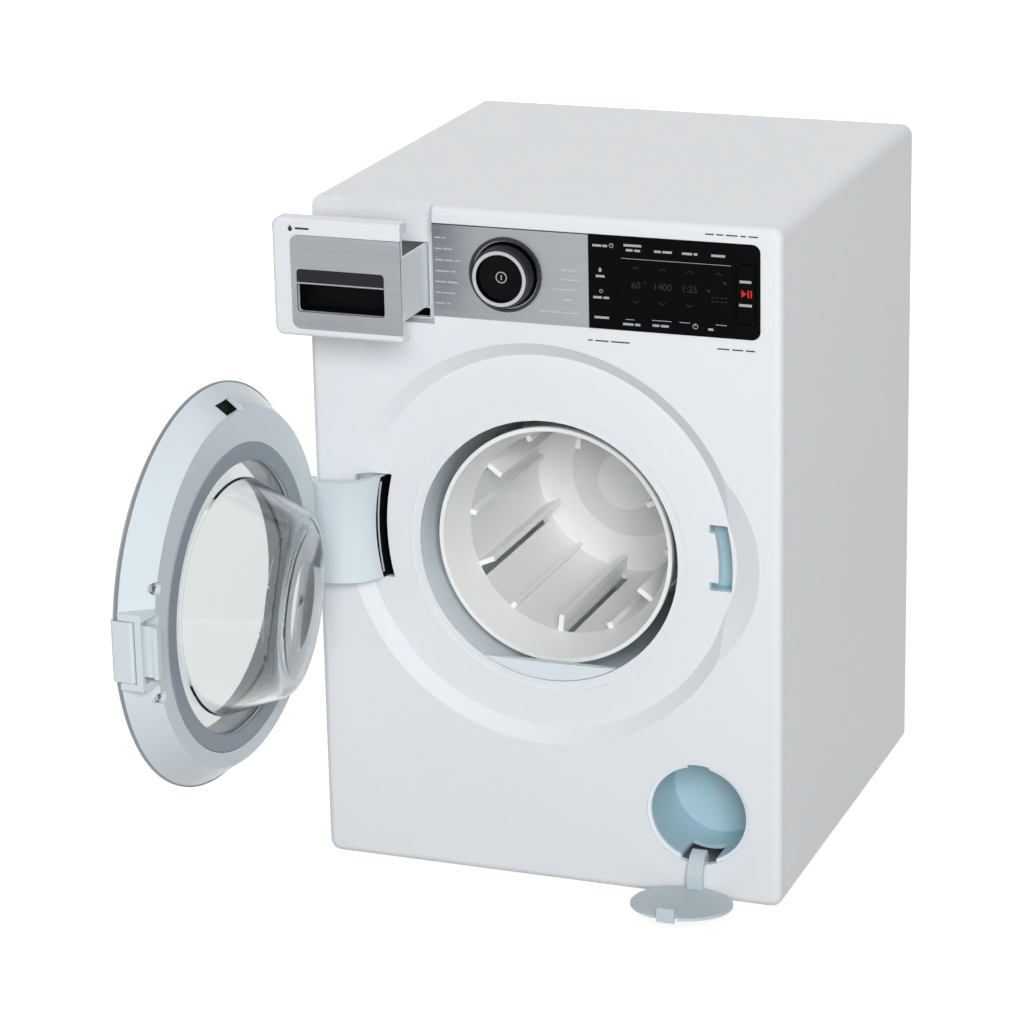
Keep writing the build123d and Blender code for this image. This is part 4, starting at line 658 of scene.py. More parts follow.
class ScrewGrower(Grower):
    """Cross-recess screws, one on each point, with the head's top on the point."""

    def __init__(self) -> None:
        """Name the tree and its inputs; lengths are in millimetres."""
        number = "NodeSocketFloat"
        super().__init__("driven_screws", {
            "Head Radius": number, "Head Height": number, "Shank Radius": number,
            "Shank Length": number, "Thread Pitch": number, "Recess Width": number,
            "Seed": "NodeSocketInt", "Finish": "NodeSocketMaterial"})

    def wire(self) -> None:
        """Make one screw and set it on every point, turned at random about its axis."""
        screw = self.node("GeometryNodeJoinGeometry")
        for part in (self._head(), self._shank()):
            self.tree.links.new(part, screw.inputs["Geometry"])
        aim = self.node("GeometryNodeInputNamedAttribute", {"Name": "out"},
                        data_type="FLOAT_VECTOR")
        upright = self.node("FunctionNodeAlignRotationToVector",
                            {"Vector": aim.outputs["Attribute"]}, axis="Z")
        spin = self.node("FunctionNodeRandomValue",
                         {"Seed": self.entry.outputs["Seed"]}, data_type="FLOAT")
        spin.inputs[3].default_value = math.pi / 2
        about = self.node("FunctionNodeAxisAngleToRotation",
                          {"Axis": (0, 0, 1), "Angle": spin.outputs[1]})
        turned = self.node("FunctionNodeRotateRotation",
                           {0: upright.outputs[0], 1: about.outputs[0]}, rotation_space="LOCAL")
        placed = self.node("GeometryNodeInstanceOnPoints", {
            "Points": self.entry.outputs["Geometry"], "Instance": screw.outputs[0],
            "Rotation": turned.outputs[0], "Scale": (MM, MM, MM)})
        self.finish(placed.outputs[0])

    def _head(self) -> bpy.types.NodeSocket:
        """Make a pan head whose top is at zero, with a cross cut into it."""
        radius, height = self.entry.outputs["Head Radius"], self.entry.outputs["Head Height"]
        skirt_height = self.maths("MULTIPLY", height, 0.5)
        skirt = self.node("GeometryNodeMeshCylinder", {
            "Vertices": 20, "Radius": radius, "Depth": skirt_height}, fill_type="NGON")
        raised = self.node("GeometryNodeExtrudeMesh", {
            "Mesh": skirt.outputs["Mesh"], "Selection": skirt.outputs["Top"],
            "Offset Scale": skirt_height}, mode="FACES")
        domed = self.node("GeometryNodeScaleElements", {
            "Geometry": raised.outputs["Mesh"], "Selection": raised.outputs["Top"],
            "Scale": 0.72}, domain="FACE")
        drop = self.node("ShaderNodeCombineXYZ", {"Z": self.maths("MULTIPLY", height, -0.75)})
        seated = self.node("GeometryNodeTransform", {
            "Geometry": domed.outputs[0], "Translation": drop.outputs[0]})
        span = self.maths("MULTIPLY", radius, 1.1)
        width = self.entry.outputs["Recess Width"]
        deep = self.maths("MULTIPLY", height, 1.1)
        cross = []
        for x, y in ((span, width), (width, span)):
            size = self.node("ShaderNodeCombineXYZ", {"X": x, "Y": y, "Z": deep})
            cross.append(self.node("GeometryNodeMeshCube", {"Size": size.outputs[0]}))
        both = self.node("GeometryNodeMeshBoolean", operation="UNION", solver="EXACT")
        cut = self.node("GeometryNodeMeshBoolean", {"Mesh 1": seated.outputs[0]},
                        operation="DIFFERENCE", solver="EXACT")
        for bar in cross:
            self.tree.links.new(bar.outputs["Mesh"], both.inputs["Mesh 2"])
        self.tree.links.new(both.outputs["Mesh"], cut.inputs["Mesh 2"])
        return cut.outputs["Mesh"]

    def _shank(self) -> bpy.types.NodeSocket:
        """Make a threaded shank below the head: a tube whose radius swells at every turn."""
        length, pitch = self.entry.outputs["Shank Length"], self.entry.outputs["Thread Pitch"]
        rings = self.maths("MULTIPLY", self.maths("DIVIDE", length, pitch), 2.0)
        tube = self.node("GeometryNodeMeshCylinder", {
            "Vertices": 12, "Side Segments": rings, "Depth": length,
            "Radius": self.maths("MULTIPLY", self.entry.outputs["Shank Radius"], 0.9)},
            fill_type="NGON")
        here = self.node("GeometryNodeInputPosition")
        parts = self.node("ShaderNodeSeparateXYZ", {0: here.outputs[0]})
        turns = self.maths("DIVIDE", parts.outputs["Z"], pitch)
        swell = self.maths("MULTIPLY_ADD", self.maths("COSINE", self.maths(
            "MULTIPLY", turns, 2 * math.pi)), 0.1, 1.0)
        wide = self.node("ShaderNodeCombineXYZ", {
            "X": self.maths("MULTIPLY", parts.outputs["X"], swell),
            "Y": self.maths("MULTIPLY", parts.outputs["Y"], swell),
            "Z": parts.outputs["Z"]})
        cut = self.node("GeometryNodeSetPosition", {
            "Geometry": tube.outputs["Mesh"], "Position": wide.outputs[0]})
        drop = self.maths("SUBTRACT", self.maths("MULTIPLY", length, -0.5),
                          self.entry.outputs["Head Height"])
        seated = self.node("GeometryNodeTransform", {
            "Geometry": cut.outputs[0],
            "Translation": self.node("ShaderNodeCombineXYZ", {"Z": drop}).outputs[0]})
        return seated.outputs[0]


class BarGrower(Grower):
    """Short printed bars on upright faces, one on each point, sized by the point."""

    def __init__(self) -> None:
        """Name the tree and its inputs."""
        super().__init__("printed_bars", {"Thickness": "NodeSocketFloat",
                                          "Finish": "NodeSocketMaterial"})

    def wire(self) -> None:
        """Set a flat bar on every point, with the width and height that it carries."""
        thick = self.maths("MULTIPLY", self.entry.outputs["Thickness"], MM)
        bar = self.node("GeometryNodeMeshCylinder", {"Vertices": 4, "Radius": math.sqrt(0.5),
                                                     "Depth": 1.0}, fill_type="NGON")
        flat = self.node("GeometryNodeTransform", {
            "Geometry": bar.outputs["Mesh"], "Rotation": (math.pi / 2, 0, 0)})
        square = self.node("GeometryNodeTransform", {
            "Geometry": flat.outputs[0], "Rotation": (0, math.pi / 4, 0)})
        size = self.node("GeometryNodeInputNamedAttribute", {"Name": "size"},
                         data_type="FLOAT_VECTOR")
        parts = self.node("ShaderNodeSeparateXYZ", {0: size.outputs["Attribute"]})
        scale = self.node("ShaderNodeCombineXYZ", {
            "X": parts.outputs["X"], "Y": thick, "Z": parts.outputs["Z"]})
        placed = self.node("GeometryNodeInstanceOnPoints", {
            "Points": self.entry.outputs["Geometry"], "Instance": square.outputs[0],
            "Scale": scale.outputs[0]})
        self.finish(placed.outputs[0])


# ------------------------------------------------------------------- screws and prints


@dataclass(frozen=True)
class ScrewSeat:
    """Where one screw sits.

    Args:
        head: the middle of its head's top, in metres.
        out: unit direction that points out of the head.
        length: overall length in millimetres.
    """

    head: Vector
    out: Vector
    length: float


def islands(work: bmesh.types.BMesh) -> list[list[bmesh.types.BMFace]]:
    """Split a merged mesh into its separate solids."""
    waiting, found = set(work.faces), []
    while waiting:
        grown = [waiting.pop()]
        for face in grown:
            for edge in face.edges:
                for near in edge.link_faces:
                    if near in waiting:
                        waiting.remove(near)
                        grown.append(near)
        found.append(grown)
    return found


def screw_seats(node: bpy.types.Object) -> list[ScrewSeat]:
    """Find every screw of a node: its head's top is the largest flat face of the solid.

    Args:
        node: a CAD node that holds a group of screws.

    Returns:
        One seat for each screw.
    """
    work = bmesh.new()
    work.from_mesh(node.data)
    bmesh.ops.remove_doubles(work, verts=work.verts, dist=1e-6)
    seats = []
    for solid in islands(work):
        caps: list[tuple[Vector, float, list[bmesh.types.BMFace]]] = []
        for face in solid:
            level = face.normal.dot(face.calc_center_median())
            for normal, height, faces in caps:
                if normal.dot(face.normal) > 0.9995 and abs(height - level) < 5e-5:
                    faces.append(face)
                    break
            else:
                caps.append((face.normal.copy(), level, [face]))
        out, _, faces = max(caps, key=lambda cap: sum(face.calc_area() for face in cap[2]))
        area = sum(face.calc_area() for face in faces)
        head = sum((face.calc_center_median() * face.calc_area() for face in faces),
                   Vector()) / area
        reach = [vert.co.dot(out) for face in solid for vert in face.verts]
        seats.append(ScrewSeat(head, out, (max(reach) - min(reach)) / MM))
    work.free()
    return seats


@dataclass(frozen=True)
class ScrewKind:
    """Sizes of one kind of screw, in millimetres."""

    head_radius: float = 2.8
    head_height: float = 1.6
    shank_radius: float = 1.0
    pitch: float = 0.9
    recess: float = 0.55


@dataclass(frozen=True)
class Bar:
    """One printed bar on an upright face: its middle, width and height in millimetres."""

    x: float
    z: float
    width: float
    height: float


def printed_bars(bars: Sequence[Bar], level: float, thickness: float, finish: Finish
                 ) -> bpy.types.Mesh:
    """Print bars on a face that looks at the user.

    Args:
        bars: the bars.
        level: the face's y, in metres.
        thickness: thickness of the ink in millimetres.
        finish: the ink.

    Returns:
        One mesh of all the bars.
    """
    places = [Vector((bar.x * MM, level - thickness / 2 * MM, bar.z * MM)) for bar in bars]
    sizes = [Vector((bar.width * MM, 0, bar.height * MM)) for bar in bars]
    return BarGrower().grow(seed_points("bars", places, size=sizes), Thickness=thickness,
                            Finish=finish.build())


# ---------------------------------------------------------------------- sub-assemblies


@dataclass
class SubAssembly:
    """A part of the machine that dresses its CAD nodes and adds its own fine pieces.

    Args:
        nodes: all the CAD nodes by name.
    """

    nodes: dict[str, bpy.types.Object]
    finishes: ClassVar[dict[Finish, tuple[str, ...]]] = {}

    def build(self) -> None:
        """Dress the nodes, then make the pieces."""
        for finish, names in self.finishes.items():
            for name in names:
                data = self.nodes[name].data
                data.materials.clear()
                data.materials.append(finish.build())
            LOG.info("%s: finish %s on %s", type(self).__name__, finish.name, ", ".join(names))
        self.add_pieces()

    def add_pieces(self) -> None:
        """Make the sub-assembly's own pieces; most have some."""

    def screws(self, node: str, body: str, kind: ScrewKind = ScrewKind()) -> None:
        """Put cross-recess screws in place of a node's plain ones.

        Args:
            node: the CAD node that holds the screws.
            body: the body that they ride on.
            kind: the screws' sizes.
        """
        seats = screw_seats(self.nodes[node])
        seeds = seed_points(f"{node}_seats", [seat.head for seat in seats],
                            out=[seat.out for seat in seats])
        shank = seats[0].length - kind.head_height
        mesh = ScrewGrower().grow(
            seeds, Head_Radius=kind.head_radius, Head_Height=kind.head_height,
            Shank_Radius=kind.shank_radius, Shank_Length=shank, Thread_Pitch=kind.pitch,
            Recess_Width=kind.recess, Seed=len(node), Finish=STEEL.build())
        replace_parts(add_piece(f"{node}_cut", mesh, STEEL, body), node)


@dataclass
class Casing(SubAssembly):
    """Shell, back cover, battery compartment and loudspeaker.

    Args:
        arrow: length of the opening arrow on the battery door, in millimetres.
    """

    arrow: float = 6.0
    finishes: ClassVar[dict[Finish, tuple[str, ...]]] = {
        SHELL_WHITE: ("housing", "rear_cover", "battery_door"),
        SATIN_BLACK_AND_SHADE: ("battery_box",), CELL_WRAP: ("batteries",),
        STEEL: ("battery_contacts",), SPEAKER_BLACK: ("speaker",)}

    def add_pieces(self) -> None:
        """Make the screws and the arrow of the battery door."""
        self.screws("cover_screws", "casing")
        self.screws("battery_door_screw", "casing")
        self._door_arrow()

    def _door_arrow(self) -> None:
        """Mould a plain arrow into the battery door that points to the way it opens."""
        low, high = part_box("battery_door")
        place = Place(Vector(((low.x + high.x) / 2, high.y, low.z + 0.012)),
                      Vector((-1, 0, 0)), Vector((0, 0, 1)))
        half = self.arrow / 2
        arrow = [(-half, 0.0), (0.0, -half), (half, 0.0)]
        bars = [rounded_rectangle(0, 2.0 + 2.0 * i, self.arrow, 0.8, 0.35) for i in range(2)]
        mesh = plates([arrow, *bars], place, 0.25, bevel=0.08)
        add_piece("battery_door_arrow", mesh, SHELL_WHITE, "casing")


@dataclass
class Drive(SubAssembly):
    """Tub, drum and the gear train behind them."""

    finishes: ClassVar[dict[Finish, tuple[str, ...]]] = {
        INNER_WHITE: ("tub", "gear_plate"), DRUM_WHITE: ("drum",),
        GEAR_PLASTIC: ("drum_gear", "idler_gear", "pinion"), BUSH_PLASTIC: ("bush",),
        STEEL: ("drum_shaft", "idler_axle", "motor_shaft", "motor")}

    def add_pieces(self) -> None:
        """Make the screws."""
        self.screws("gear_plate_screws", "casing")
        self.screws("tub_screws", "casing")


@dataclass
class Door(SubAssembly):
    """Round door with its window bowl, arm, handle and catch.

    Args:
        shade_depth: how far behind the shell's front the painted shade on the arm starts, in
            millimetres.
        shade_radius: least distance of the painted shade's outer skin from the hinge pin.
        skin: thickness of the painted shade's sheet.
    """

    shade_depth: float = 1.7
    shade_radius: float = 14.5
    skin: float = 0.06
    finishes: ClassVar[dict[Finish, tuple[str, ...]]] = {
        SILVER: ("door_rim",), DOOR_SHADED_WHITE: ("door_bezel", "hinge_arm", "door_handle"),
        SEAL_GREY: ("door_seal",), CLEAR: ("door_bowl",), PALE_BLUE_AND_SHADE: ("catch_box",),
        STEEL: ("hinge_pin",)}

    def add_pieces(self) -> None:
        """Make the screws and the painted shade on the arm's inner end."""
        self.screws("arm_screws", "door")
        self.screws("door_screws", "door", ScrewKind(head_radius=2.2, head_height=1.2))
        self._arm_painted_shade()

    def _arm_painted_shade(self) -> None:
        """Paint shade on the arm's outer skin where it stays inside the shell: a matt black sheet
        that stands for the dark gap beside the arm.
        """
        work = bmesh.new()
        work.from_mesh(self.nodes["hinge_arm"].data)
        bmesh.ops.remove_doubles(work, verts=work.verts, dist=1e-6)
        pin, start = node_centre("hinge_pin"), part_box("housing")[0].y + self.shade_depth * MM
        bmesh.ops.bisect_plane(work, geom=[*work.verts, *work.edges, *work.faces],
                               plane_co=(0, start, 0), plane_no=(0, 1, 0), clear_inner=True)
        inside = []
        for face in work.faces:
            away = face.calc_center_median() - pin
            away.z = 0
            if away.length < self.shade_radius * MM or away.normalized().dot(face.normal) < 0.4:
                inside.append(face)
        bmesh.ops.delete(work, geom=inside, context="FACES")
        for vertex in work.verts:
            away = vertex.co - pin
            away.z = 0
            vertex.co += away.normalized() * self.skin * MM
        bmesh.ops.solidify(work, geom=work.faces, thickness=self.skin * MM / 2)
        # Painted shade: the matt black sheet stands for the dark gap beside the arm.
        add_piece("arm_painted_shade", mesh_from(work, "arm_painted_shade"), SATIN_BLACK_AND_SHADE,
                  "door")


@dataclass
class Drawer(SubAssembly):
    """Powder drawer with its metal-look front.

    Args:
        drop: place and radius of the water-drop mark on the front, in millimetres.
        mark: place, width and height of the bar beside it.
        ink: thickness of a print.
        lip: radius of the bright lip along the grip bar's lower edge.
    """

    drop: tuple[float, float, float] = (-84.9, 258.9, 0.85)
    mark: tuple[float, float, float, float] = (-80.2, 259.3, 5.6, 0.75)
    ink: float = 0.05
    lip: float = 0.35
    finishes: ClassVar[dict[Finish, tuple[str, ...]]] = {
        SHELL_WHITE: ("drawer_front", "drawer_tray"), FASCIA_SILVER: ("drawer_insert",),
        SATIN_BLACK_AND_SHADE: ("drawer_pocket",), BLACK_CHROME: ("drawer_bar",),
        INNER_WHITE: ("drawer_case",)}

    def add_pieces(self) -> None:
        """Make the mark on the front and the bar's lip."""
        low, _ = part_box("drawer_front")
        place = front_place(0, low.y, 0)
        x, z, width, height = self.mark
        outlines = [droplet(*self.drop), rounded_rectangle(x, z, width, height, height / 2.1)]
        add_piece("drawer_drop_mark", plates(outlines, place, self.ink), PRINT_BLACK_AND_SHADE,
                  "drawer")
        self._bar_lip()

    def _bar_lip(self) -> None:
        """Run a bright half-round lip along the grip bar's lower edge."""
        low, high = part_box("drawer_bar")
        steps = 8
        section = [(self.lip * math.cos(math.pi * i / steps), self.lip * math.sin(
            math.pi * i / steps)) for i in range(steps + 1)]
        place = Place(Vector((low.x, low.y + 0.02 * MM, low.z + self.lip * MM)),
                      Vector((0, 0, 1)), Vector((0, -1, 0)))
        mesh = plates([section], place, (high.x - low.x) / MM)
        add_piece("drawer_bar_lip", mesh, CHROME, "drawer")


@dataclass
class ControlPanel(SubAssembly):
    """Programme knob, silver fascia, black touch display and start key.

    Args:
        ink: thickness of a print, in millimetres.
        lens: x, z, width and height of the display's window.
        key_edges: where the upper and lower keys meet, in x.
        side_keys: middle heights and heights of the keys at the left.
        figures: the display's dim figures with their x.
        figure_height: z of the figures and of the arrows above and below them.
    """

    ink: float = 0.04
    lens: tuple[float, float, float, float] = (52.9, 238.95, 42.6, 19.3)
    key_edges: tuple[float, ...] = (31.4, 42.5, 53.2, 63.9, 74.4)
    side_keys: tuple[tuple[float, float], ...] = ((252.1, 8.4), (242.9, 8.6), (234.1, 7.8),
                                                  (226.2, 6.8))
    figures: tuple[tuple[str, float], ...] = (("60", 37.6), ("1400", 47.8), ("1:25", 58.0))
    figure_height: tuple[float, float, float] = (238.8, 245.0, 233.0)
    finishes: ClassVar[dict[Finish, tuple[str, ...]]] = {
        FASCIA_SILVER: ("fascia",), CHROME: ("knob_ring",), DARK_CHROME: ("knob_bezel", "knob"),
        GLOSS_BLACK: ("display", "start_key"),
        SATIN_BLACK_AND_SHADE: ("knob_button", "key_switch", "dial_switch"),
        BOARD_GREEN: ("circuit_board",)}

    def add_pieces(self) -> None:
        """Make the screws, the keys, the prints and the knob's symbol."""
        self.screws("board_screws", "casing")
        self.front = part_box("display")[0].y
        self._keys()
        self._lens()
        self._figures()
        self._labels()
        self._start_symbol()
        self._programme_marks()
        self._power_symbol()
        self._body_marks()

    def _keys(self) -> None:
        """Raise the touch keys round the window, each with a narrow groove about it."""
        outlines = [rounded_rectangle(25.2, z, 9.6, height - 0.7, 0.6)
                    for z, height in self.side_keys]
        for left, right in zip(self.key_edges, self.key_edges[1:]):
            middle, width = (left + right) / 2, right - left - 0.6
            outlines.append(rounded_rectangle(middle, 252.9, width, 6.4, 0.6))
            outlines.append(rounded_rectangle(middle, 225.4, width, 5.6, 0.6))
        mesh = plates(outlines, front_place(0, self.front, 0), 0.12, bevel=0.08)
        add_piece("touch_keys", mesh, GLOSS_BLACK, "casing")

    def _lens(self) -> None:
        """Raise the window's frame and put a bright line along its top: a painted highlight."""
        x, z, width, height = self.lens
        outline = rounded_rectangle(x, z, width, height, 0.5)
        mesh = plates([outline], front_place(0, self.front, 0), 0.12, bevel=0.1)
        add_piece("display_window", mesh, GLOSS_BLACK, "casing")
        # Painted highlight: a bright bar along the window's top edge.
        bars = [Bar(x, z + height / 2 + 0.05, width - 1.0, 0.16)]
        mesh = printed_bars(bars, self.front, 0.14, PRINT_WHITE_AND_HIGHLIGHT)
        add_piece("window_painted_highlight", mesh, PRINT_WHITE_AND_HIGHLIGHT, "casing")

    def _figures(self) -> None:
        """Print the window's dim figures, arrows and dashes."""
        level = self.front - 0.12 * MM
        middle, upper, lower = self.figure_height
        prints = [figures(text, 3.6, front_place(x * MM, level, middle * MM), self.ink)
                  for text, x in self.figures]
        arrows = []
        for _, x in self.figures:
            arrows.append(chevron(x, upper, 2.4, 0.9, 0.3))
            arrows.append(chevron(x, lower, 2.4, -0.9, 0.3))
        arrows.append(chevron(69.0, upper, 2.4, 0.9, 0.3))
        arrows.append(ring_strip(41.2, 240.0, 0.35, 0.16, steps=14))
        prints.append(plates(arrows, front_place(0, level, 0), self.ink))
        bars = [Bar(67.0 + 1.6 * i, z, 1.1, 0.28) for i in range(4) for z in (236.5, 235.0)]
        bars += [Bar(65.3, 238.8, 0.9, 0.9), Bar(71.4, 242.1, 0.9, 0.9)]
        prints.append(printed_bars(bars, level, self.ink, PRINT_DIM))
        add_piece("window_figures", joined(prints), PRINT_DIM, "casing")

    def _labels(self) -> None:
        """Print the keys' white labels as plain bars, with a water drop and a clock."""
        level = self.front - 0.12 * MM
        tall = 0.85
        bars = [Bar(22.9, 252.8, 3.4, tall), Bar(25.9, 252.8, 1.8, tall),
                Bar(24.0, 241.4, 3.4, tall), Bar(22.9, 233.4, 3.4, tall),
                Bar(26.3, 233.4, 2.2, tall), Bar(24.4, 225.9, 5.6, tall),
                Bar(36.5, 253.6, 6.8, tall), Bar(35.3, 251.8, 2.6, tall),
                Bar(38.3, 251.8, 2.2, tall), Bar(46.0, 252.0, 2.6, tall),
                Bar(49.7, 252.0, 3.6, tall), Bar(57.2, 252.0, 3.8, tall),
                Bar(60.4, 252.0, 1.4, tall), Bar(68.9, 252.0, 5.2, tall),
                Bar(34.6, 224.1, 4.0, tall), Bar(38.2, 224.1, 2.0, tall),
                Bar(45.2, 224.4, 2.6, tall), Bar(48.6, 224.4, 3.0, tall),
                Bar(66.0, 224.5, 2.0, tall)]
        bars += [Bar(x, z, width, 0.22) for x, z, width in (
            (35.2, 225.9, 3.4), (47.4, 226.3, 7.4), (56.2, 226.3, 4.0), (70.0, 226.4, 4.0))]
        prints = [printed_bars(bars, level, self.ink, PRINT_WHITE_AND_HIGHLIGHT)]
        symbols = [droplet(24.0, 243.6, 0.6), ring_strip(28.4, 253.1, 0.75, 0.22, steps=24),
                   ring_strip(24.3, 235.8, 0.6, 0.2, steps=20),
                   ring_strip(60.2, 225.2, 0.9, 0.24, steps=24),
                   rounded_rectangle(28.4, 253.4, 0.2, 0.6, 0.08, steps=1),
                   rounded_rectangle(60.2, 225.5, 0.2, 0.7, 0.08, steps=1)]
        prints.append(plates(symbols, front_place(0, level, 0), self.ink))
        add_piece("key_labels", joined(prints), PRINT_WHITE_AND_HIGHLIGHT, "casing")

    def _start_symbol(self) -> None:
        """Print the start key's red start and pause sign, with a white bar each side."""
        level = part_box("start_key")[0].y
        place = front_place(0, level, 0)
        sign = [[(77.6, 240.1), (77.6, 237.2), (79.5, 238.65)],
                rounded_rectangle(80.15, 238.65, 0.6, 2.9, 0.1, steps=1),
                rounded_rectangle(81.25, 238.65, 0.6, 2.9, 0.1, steps=1)]
        add_piece("start_sign", plates(sign, place, self.ink), PRINT_RED,
                  "start_key")
        bars = [Bar(79.1, 243.1, 4.4, 0.95), Bar(79.1, 234.4, 4.8, 0.95)]
        mesh = printed_bars(bars, level, self.ink, PRINT_WHITE_AND_HIGHLIGHT)
        add_piece("start_key_bars", mesh, PRINT_WHITE_AND_HIGHLIGHT, "start_key")

    def _programme_marks(self) -> None:
        """Print faint programme marks on both sides of the knob, and paint shade along the
        fascia's top edge where it meets the shell.
        """
        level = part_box("fascia")[0].y
        rows = {251.6: (2.4, 1.0), 247.4: (2.6, 3.6), 243.1: (3.2, 3.0, 2.4), 238.9: (5.4, 1.8),
                234.8: (4.0, 4.0), 230.7: (2.2, 4.6), 226.7: (3.4, 1.6)}
        bars = []
        for z, widths in rows.items():
            x = -40.4
            for width in widths:
                bars.append(Bar(x + width / 2, z, width, 0.45))
                x += width + 0.7
        for z, left, widths in ((242.6, 8.9, (2.2, 3.4)), (239.0, 8.9, (3.6, 2.2)),
                                (235.2, 5.4, (2.0, 4.0, 1.2)), (231.4, 9.6, (3.6,)),
                                (226.6, 0.0, (2.8, 4.6, 2.6, 3.4))):
            for width in widths:
                bars.append(Bar(left + width / 2, z, width, 0.45))
                left += width + 0.7
        mesh = printed_bars(bars, level, self.ink, PRINT_PALE)
        add_piece("programme_marks", mesh, PRINT_PALE, "casing")
        # Painted shade: a dark bar along the fascia's top edge stands for the shaded gap between
        # fascia and shell.
        low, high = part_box("fascia")
        edge = Bar((low.x + high.x) / 2 / MM, high.z / MM - 0.15, (high.x - low.x) / MM, 0.3)
        mesh = printed_bars([edge], level, self.ink, PRINT_BLACK_AND_SHADE)
        add_piece("fascia_gap_shade", mesh, PRINT_BLACK_AND_SHADE, "casing")

    def _power_symbol(self) -> None:
        """Print the on and off sign, a ring round a bar, on the knob's middle."""
        centre = node_centre("knob_button")
        place = front_place(centre.x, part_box("knob_button")[0].y, centre.z)
        sign = [ring_strip(0, 0, 2.0, 0.42), rounded_rectangle(0, 0, 0.45, 1.9, 0.1, steps=1)]
        add_piece("power_sign", plates(sign, place, self.ink), PRINT_WHITE_AND_HIGHLIGHT,
                  "knob_button")

    def _body_marks(self) -> None:
        """Print three short rows of plain dashes on the shell about the panel."""
        level = -0.091
        bars = []
        for left, z, widths in ((63.9, 259.7, (3.2, 2.6, 4.4, 2.0, 3.6)),
                                (18.9, 216.9, (1.8, 5.0, 7.2)),
                                (68.3, 217.4, (4.6, 4.2, 3.4))):
            for width in widths:
                bars.append(Bar(left + width / 2, z, width, 0.5))
                left += width + 1.0
        mesh = printed_bars(bars, level, self.ink, PRINT_BLACK_AND_SHADE)
        add_piece("shell_dashes", mesh, PRINT_BLACK_AND_SHADE, "casing")


@dataclass
class ServicePort(SubAssembly):
    """Emptying port: its cup, and the round flap that closes it."""

    finishes: ClassVar[dict[Finish, tuple[str, ...]]] = {
        PALE_BLUE_AND_SHADE: ("service_cup",), FLAP_SHADED_WHITE: ("service_flap",), STEEL: ("flap_pin",)}


# ------------------------------------------------------------------------------ studio


@dataclass
class StudioCamera:
    """The still camera that frames the machine.

    Args:
        location: where it stands, in millimetres.
        azimuth: turn about +Z from the front, in degrees.
        elevation: angle above the horizon, in degrees.
        roll: turn about its own axis, in degrees.
        lens: focal length in millimetres on the sensor.
        sensor: sensor width in millimetres.
    """

    location: Colour = (462.574, -1334.349, 583.817)
    azimuth: float = 20.90785
    elevation: float = 18.14313
    roll: float = -1.26074
    lens: float = 131.61
    sensor: float = 36.0

    def axes(self) -> tuple[Vector, Vector, Vector]:
        """Return the camera's right, up and back directions."""
        a, e, r = (math.radians(v) for v in (self.azimuth, self.elevation, self.roll))
        back = Vector((math.sin(a) * math.cos(e), -math.cos(a) * math.cos(e), math.sin(e)))
        right = (-back).cross(Vector((0, 0, 1))).normalized()
        up = right.cross(-back)
        return (right * math.cos(r) + up * math.sin(r),
                up * math.cos(r) - right * math.sin(r), back)

    def build(self) -> bpy.types.Object:
        """Create the camera and make it the scene's own."""
        data = bpy.data.cameras.new("still_camera")
        data.lens = self.lens
        data.sensor_width = self.sensor
        data.clip_end = 20.0
        camera = bpy.data.objects.new("still_camera", data)
        turn = Matrix(self.axes()).transposed().to_4x4()
        camera.matrix_world = Matrix.Translation(Vector(self.location) * MM) @ turn
        bpy.context.scene.collection.objects.link(camera)
        bpy.context.scene.camera = camera
        return camera


@dataclass(frozen=True)
class Lamp:
    """One area lamp.

    Args:
        name: the lamp's name.
        place: where it stands, in metres.
        size: edge length in metres.
        watts: its power.
        mirrored: whether glossy and clear surfaces show it.
        target: the point that it looks at, in metres.
    """

    name: str
    place: Colour
    size: float
    watts: float
    mirrored: bool = True
    target: Colour = (0.0, 0.0, 0.12)

    def build(self) -> None:
        """Create the lamp."""
        data = bpy.data.lights.new(self.name, "AREA")
        data.energy = self.watts
        data.size = self.size
        lamp = bpy.data.objects.new(self.name, data)
        away = (Vector(self.place) - Vector(self.target)).normalized()
        lamp.matrix_world = (Matrix.Translation(Vector(self.place))
                             @ away.to_track_quat("Z", "Y").to_matrix().to_4x4())
        lamp.visible_glossy = lamp.visible_transmission = self.mirrored
        bpy.context.scene.collection.objects.link(lamp)


def seen_ray(tree: bpy.types.NodeTree) -> bpy.types.NodeSocket:
    """Return 1 for rays from the camera, or seen in a reflection or through glass."""
    ray = tree.nodes.new("ShaderNodeLightPath")
    value = ray.outputs["Is Camera Ray"]
    for kind in ("Is Glossy Ray", "Is Transmission Ray"):
        larger = tree.nodes.new("ShaderNodeMath")
        larger.operation = "MAXIMUM"
        tree.links.new(value, larger.inputs[0])
        tree.links.new(ray.outputs[kind], larger.inputs[1])
        value = larger.outputs[0]
    return value


